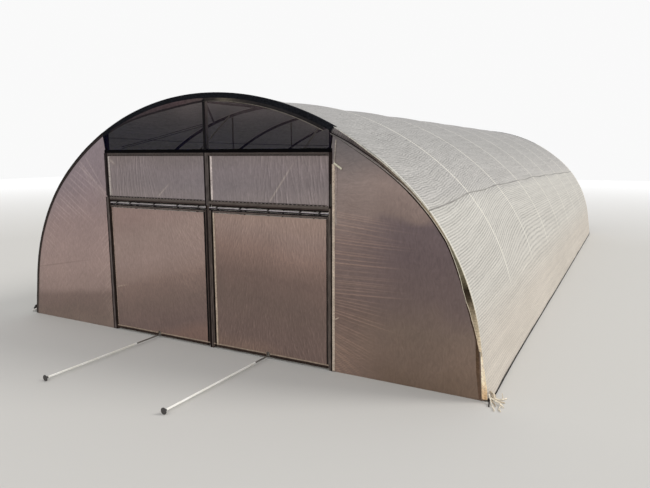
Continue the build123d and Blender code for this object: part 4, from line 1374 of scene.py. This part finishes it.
def make_bare_top_material():
    """Centre post: wrapped up to the beam, bare zinc behind the net over it."""
    s = Shader("centre_post", rough=0.5, Specular_IOR_Level=0.2)
    up = s.node("ShaderNodeSeparateXYZ", {0: s.coordinates()}).outputs[2]
    folds = s.grain((40, 40, 1.6), 4, 0.6, 0.4)
    bloom = s.grain((5, 5, 3), 5, 0.6)
    wrapped = s.ramp(folds, (0.32, 44, 36, 31), (0.68, 104, 92, 84))
    bare = s.ramp(bloom, (0.3, 186, 180, 166), (0.7, 222, 214, 198))
    face = s.mix(s.span(up, 2.918, 2.922, 0.0, 1.0), wrapped, bare)
    return s.finish(face, s.ramp(bloom, (0.3, 0.4), (0.7, 0.65)), folds, 0.3, 0.002)


dress(make_bare_top_material(), "centre_door_post")
dress(dark_wrap, "left_door_post", "right_door_post", "rear_posts", "left_door_frame", "right_door_frame")
dress(rail_wrap, "door_header", "rear_rails")
dress(black_wrap, "vent_beam")
dress(foot_film_and_shade, "base_rails")
dress(clip_look, "left_door_clips", "right_door_clips")


def make_prop_material(name, rod_end):
    """Steel of a prop along its length: dull rod, bright sleeve, and a dark foot that is partly rust and partly
    painted shadow.
    """
    s = Shader(name, rough=0.5)
    away = s.times(s.node("ShaderNodeSeparateXYZ", {0: s.coordinates()}).outputs[1], -1.0)
    bloom = s.grain((6, 6, 6), 5, 0.6)
    on_sleeve = s.span(away, rod_end - 0.001, rod_end + 0.001, 0.0, 1.0)
    on_foot = s.span(away, 1.990, 2.000, 0.0, 1.0)
    rod = s.ramp(bloom, (0.3, 84, 80, 76), (0.7, 122, 117, 110))
    sleeve = s.ramp(bloom, (0.3, 240, 238, 226), (0.6, 254, 253, 248))
    foot_shade = s.ramp(bloom, (0.3, 40, 38, 38), (0.7, 84, 80, 78))
    face = s.mix(on_foot, s.mix(on_sleeve, rod, sleeve), foot_shade)
    scratches = s.grain((60, 60, 60), 3, 0.6)
    face = s.multiply(face, s.ramp(scratches, (0.3, 0.90), (0.6, 1.0)))
    return s.finish(face, s.ramp(scratches, (0.3, 0.38), (0.7, 0.6)), scratches, 0.15, 0.001)


dress(make_prop_material("left_prop_steel", 0.510), "left_prop")
dress(make_prop_material("right_prop_steel", 0.340), "right_prop")


# Corner knots: surplus film gathered and tied off

def corner_knots():
    """Surplus film gathered at the two front corners. The right one trails pale twisted strips."""
    dice = np.random.default_rng(301)
    cream = (232, 222, 204)

    def strand(pile, marks, radius, shade, seed):
        marks = np.array(marks, float)
        steps = np.linspace(0, len(marks) - 1, 8 * len(marks))
        path = np.stack([np.interp(steps, np.arange(len(marks)), marks[:, i]) for i in range(3)], -1)
        path[1:-1] = (path[:-2] + 2 * path[1:-1] + path[2:]) / 4
        path += 0.003 * np.stack([drift(steps, steps * 0 + i, 0.6, seed + i) for i in range(3)], -1)
        path[:, 2] = np.maximum(path[:, 2], radius * 0.7)
        worn = 1 + 0.22 * drift(steps, steps * 0, 0.4, seed + 4)[None, :, None]
        pile.tube(path, radius, squash=0.5, side=(0.4, 0.3, 1), tint=linear(*shade) * worn)

    right = Pile()
    for index in range(6):
        start = np.array([4.070, 0.012 + 0.020 * index, 0.120 - 0.012 * index])
        end = start + [0.035 + 0.03 * dice.uniform(), dice.uniform(-0.02, 0.02), -0.085]
        middle = (start + end) / 2 + [0.012, 0, 0.012]
        strand(right, [start, middle, end], 0.012, cream if index % 2 else (190, 176, 156), 310 + index)
    trails = Pile()
    for pile, radius, shade, seed, marks in (
            (right, 0.010, cream, 330, [
                (4.085, 0.010, 0.060), (4.155, 0.036, 0.022), (4.210, 0.096, 0.014), (4.235, 0.150, 0.010)]),
            (right, 0.006, cream, 340, [(4.205, 0.090, 0.016), (4.196, 0.110, 0.050), (4.186, 0.120, 0.080)]),
            (right, 0.009, (206, 192, 170), 350, [
                (4.110, 0.020, 0.030), (4.165, 0.010, 0.014), (4.240, 0.015, 0.010)]),
            (trails, 0.009, cream, 360, [
                (4.068, -0.034, 0.105), (4.095, -0.060, 0.050), (4.120, -0.120, 0.020), (4.160, -0.190, 0.010),
                (4.176, -0.248, 0.010)]),
            (trails, 0.009, cream, 370, [
                (4.090, -0.040, 0.060), (4.150, -0.030, 0.030), (4.202, -0.030, 0.016), (4.214, -0.100, 0.014),
                (4.209, -0.173, 0.010), (4.245, -0.235, 0.010)]),
            (trails, 0.008, cream, 380, [(4.150, -0.030, 0.030), (4.205, -0.055, 0.022), (4.255, -0.115, 0.010)]),
            (trails, 0.008, (170, 154, 132), 390, [
                (4.100, -0.055, 0.040), (4.150, -0.090, 0.014), (4.165, -0.130, 0.010)]),
            # A dark strand on the ground, painted as shadow under the knot
            (trails, 0.012, (40, 34, 32), 395, [
                (4.070, -0.030, 0.050), (4.085, -0.080, 0.016), (4.100, -0.160, 0.008)])):
        strand(pile, marks, radius, shade, seed)
    right.build("knot_right", edge_wrap, slot="film")
    trails.build("knot_trails", edge_wrap, slot="film")
    # Left knot: painted dark as it sits in shade
    left = Pile()
    for _ in range(9):
        middle = np.array([-4.155, 0.095, 0.055]) + dice.uniform(-1, 1, 3) * [0.070, 0.065, 0.025]
        radii = dice.uniform(0.026, 0.045, 3)
        middle[2] = max(middle[2], radii[2] + 0.002)
        left.ball(middle, radii)
    left.build("knot_left", foot_film_and_shade, slot="film", nodes=["corner_knots"])
    light = Pile()
    marks = [(-4.120, 0.020, 0.060), (-4.160, 0.000, 0.040), (-4.205, -0.002, 0.018)]
    strand(light, marks, 0.014, (214, 210, 204), 398)
    light.build("knot_left_strip", edge_wrap, slot="film")


corner_knots()


# Floor, light and camera

def studio():
    s = Shader("floor", rough=0.9, Specular_IOR_Level=0.1)
    away = s.node("ShaderNodeVectorMath", {0: s.coordinates()}, operation="LENGTH").outputs["Value"]
    look = s.finish(s.mix(s.span(away, 14.0, 48.0, 0.0, 1.0), rgba(206, 204, 200), rgba(252, 252, 252)))
    edge = 60.0
    mesh = bpy.data.meshes.new("floor")
    mesh.from_pydata([(x, y, -0.0005) for y in (-edge, edge) for x in (-edge, edge)], [], [(0, 1, 3, 2)])
    mesh.materials.append(look)
    obj = bpy.data.objects.new("floor", mesh)
    bpy.context.scene.collection.objects.link(obj)

    world = bpy.data.worlds.new("studio")
    bpy.context.scene.world = world
    world.use_nodes = True
    tree = world.node_tree
    link = tree.links.new
    soft = tree.nodes["Background"]
    white = tree.nodes.new("ShaderNodeBackground")
    for node, shade, strength in ((soft, (0.98, 0.99, 1.0, 1), 0.72), (white, (1, 1, 1, 1), 0.95)):
        node.inputs["Color"].default_value = shade
        node.inputs["Strength"].default_value = strength
    # The camera, and what shines or lets through, sees plain white
    rays = tree.nodes.new("ShaderNodeLightPath").outputs
    seen = rays["Is Camera Ray"]
    for kind in ("Is Glossy Ray", "Is Transmission Ray"):
        either = tree.nodes.new("ShaderNodeMath")
        either.operation = "MAXIMUM"
        link(seen, either.inputs[0])
        link(rays[kind], either.inputs[1])
        seen = either.outputs[0]
    mixer = tree.nodes.new("ShaderNodeMixShader")
    for index, socket in enumerate((seen, soft.outputs[0], white.outputs[0])):
        link(socket, mixer.inputs[index])
    link(mixer.outputs[0], tree.nodes["World Output"].inputs["Surface"])

    for name, direction, strength, angle, shade in (
            ("key", (0.80, 0.42, 0.62), 1.45, 22, (1.0, 0.975, 0.94)),
            ("fill", (0.25, -1.0, 0.55), 0.55, 50, (1, 1, 1))):
        lamp = bpy.data.lights.new(name, "SUN")
        lamp.energy = strength
        lamp.angle = math.radians(angle)
        lamp.color = shade
        obj = bpy.data.objects.new(name, lamp)
        obj.rotation_mode = "QUATERNION"
        obj.rotation_quaternion = Vector(direction).to_track_quat("Z", "Y")
        bpy.context.scene.collection.objects.link(obj)


def camera():
    yaw, pitch, roll = (math.radians(a) for a in (-28.382, 8.989, -0.182))
    ahead = Vector((math.sin(yaw) * math.cos(pitch), math.cos(yaw) * math.cos(pitch), -math.sin(pitch)))
    right = Vector((math.cos(yaw), -math.sin(yaw), 0))
    up = right.cross(ahead)
    right_rolled = math.cos(roll) * right + math.sin(roll) * up
    up_rolled = -math.sin(roll) * right + math.cos(roll) * up
    data = bpy.data.cameras.new("camera")
    data.sensor_fit = "HORIZONTAL"
    data.sensor_width = 36
    data.lens = 31.695
    data.clip_end = 300
    obj = bpy.data.objects.new("camera", data)
    turn = Matrix((right_rolled, up_rolled, -ahead)).transposed()
    obj.matrix_world = Matrix.Translation((5.381, -6.433, 2.852)) @ turn.to_4x4()
    bpy.context.scene.collection.objects.link(obj)
    bpy.context.scene.camera = obj


studio()
camera()
bpy.context.scene.view_settings.view_transform = "Standard"
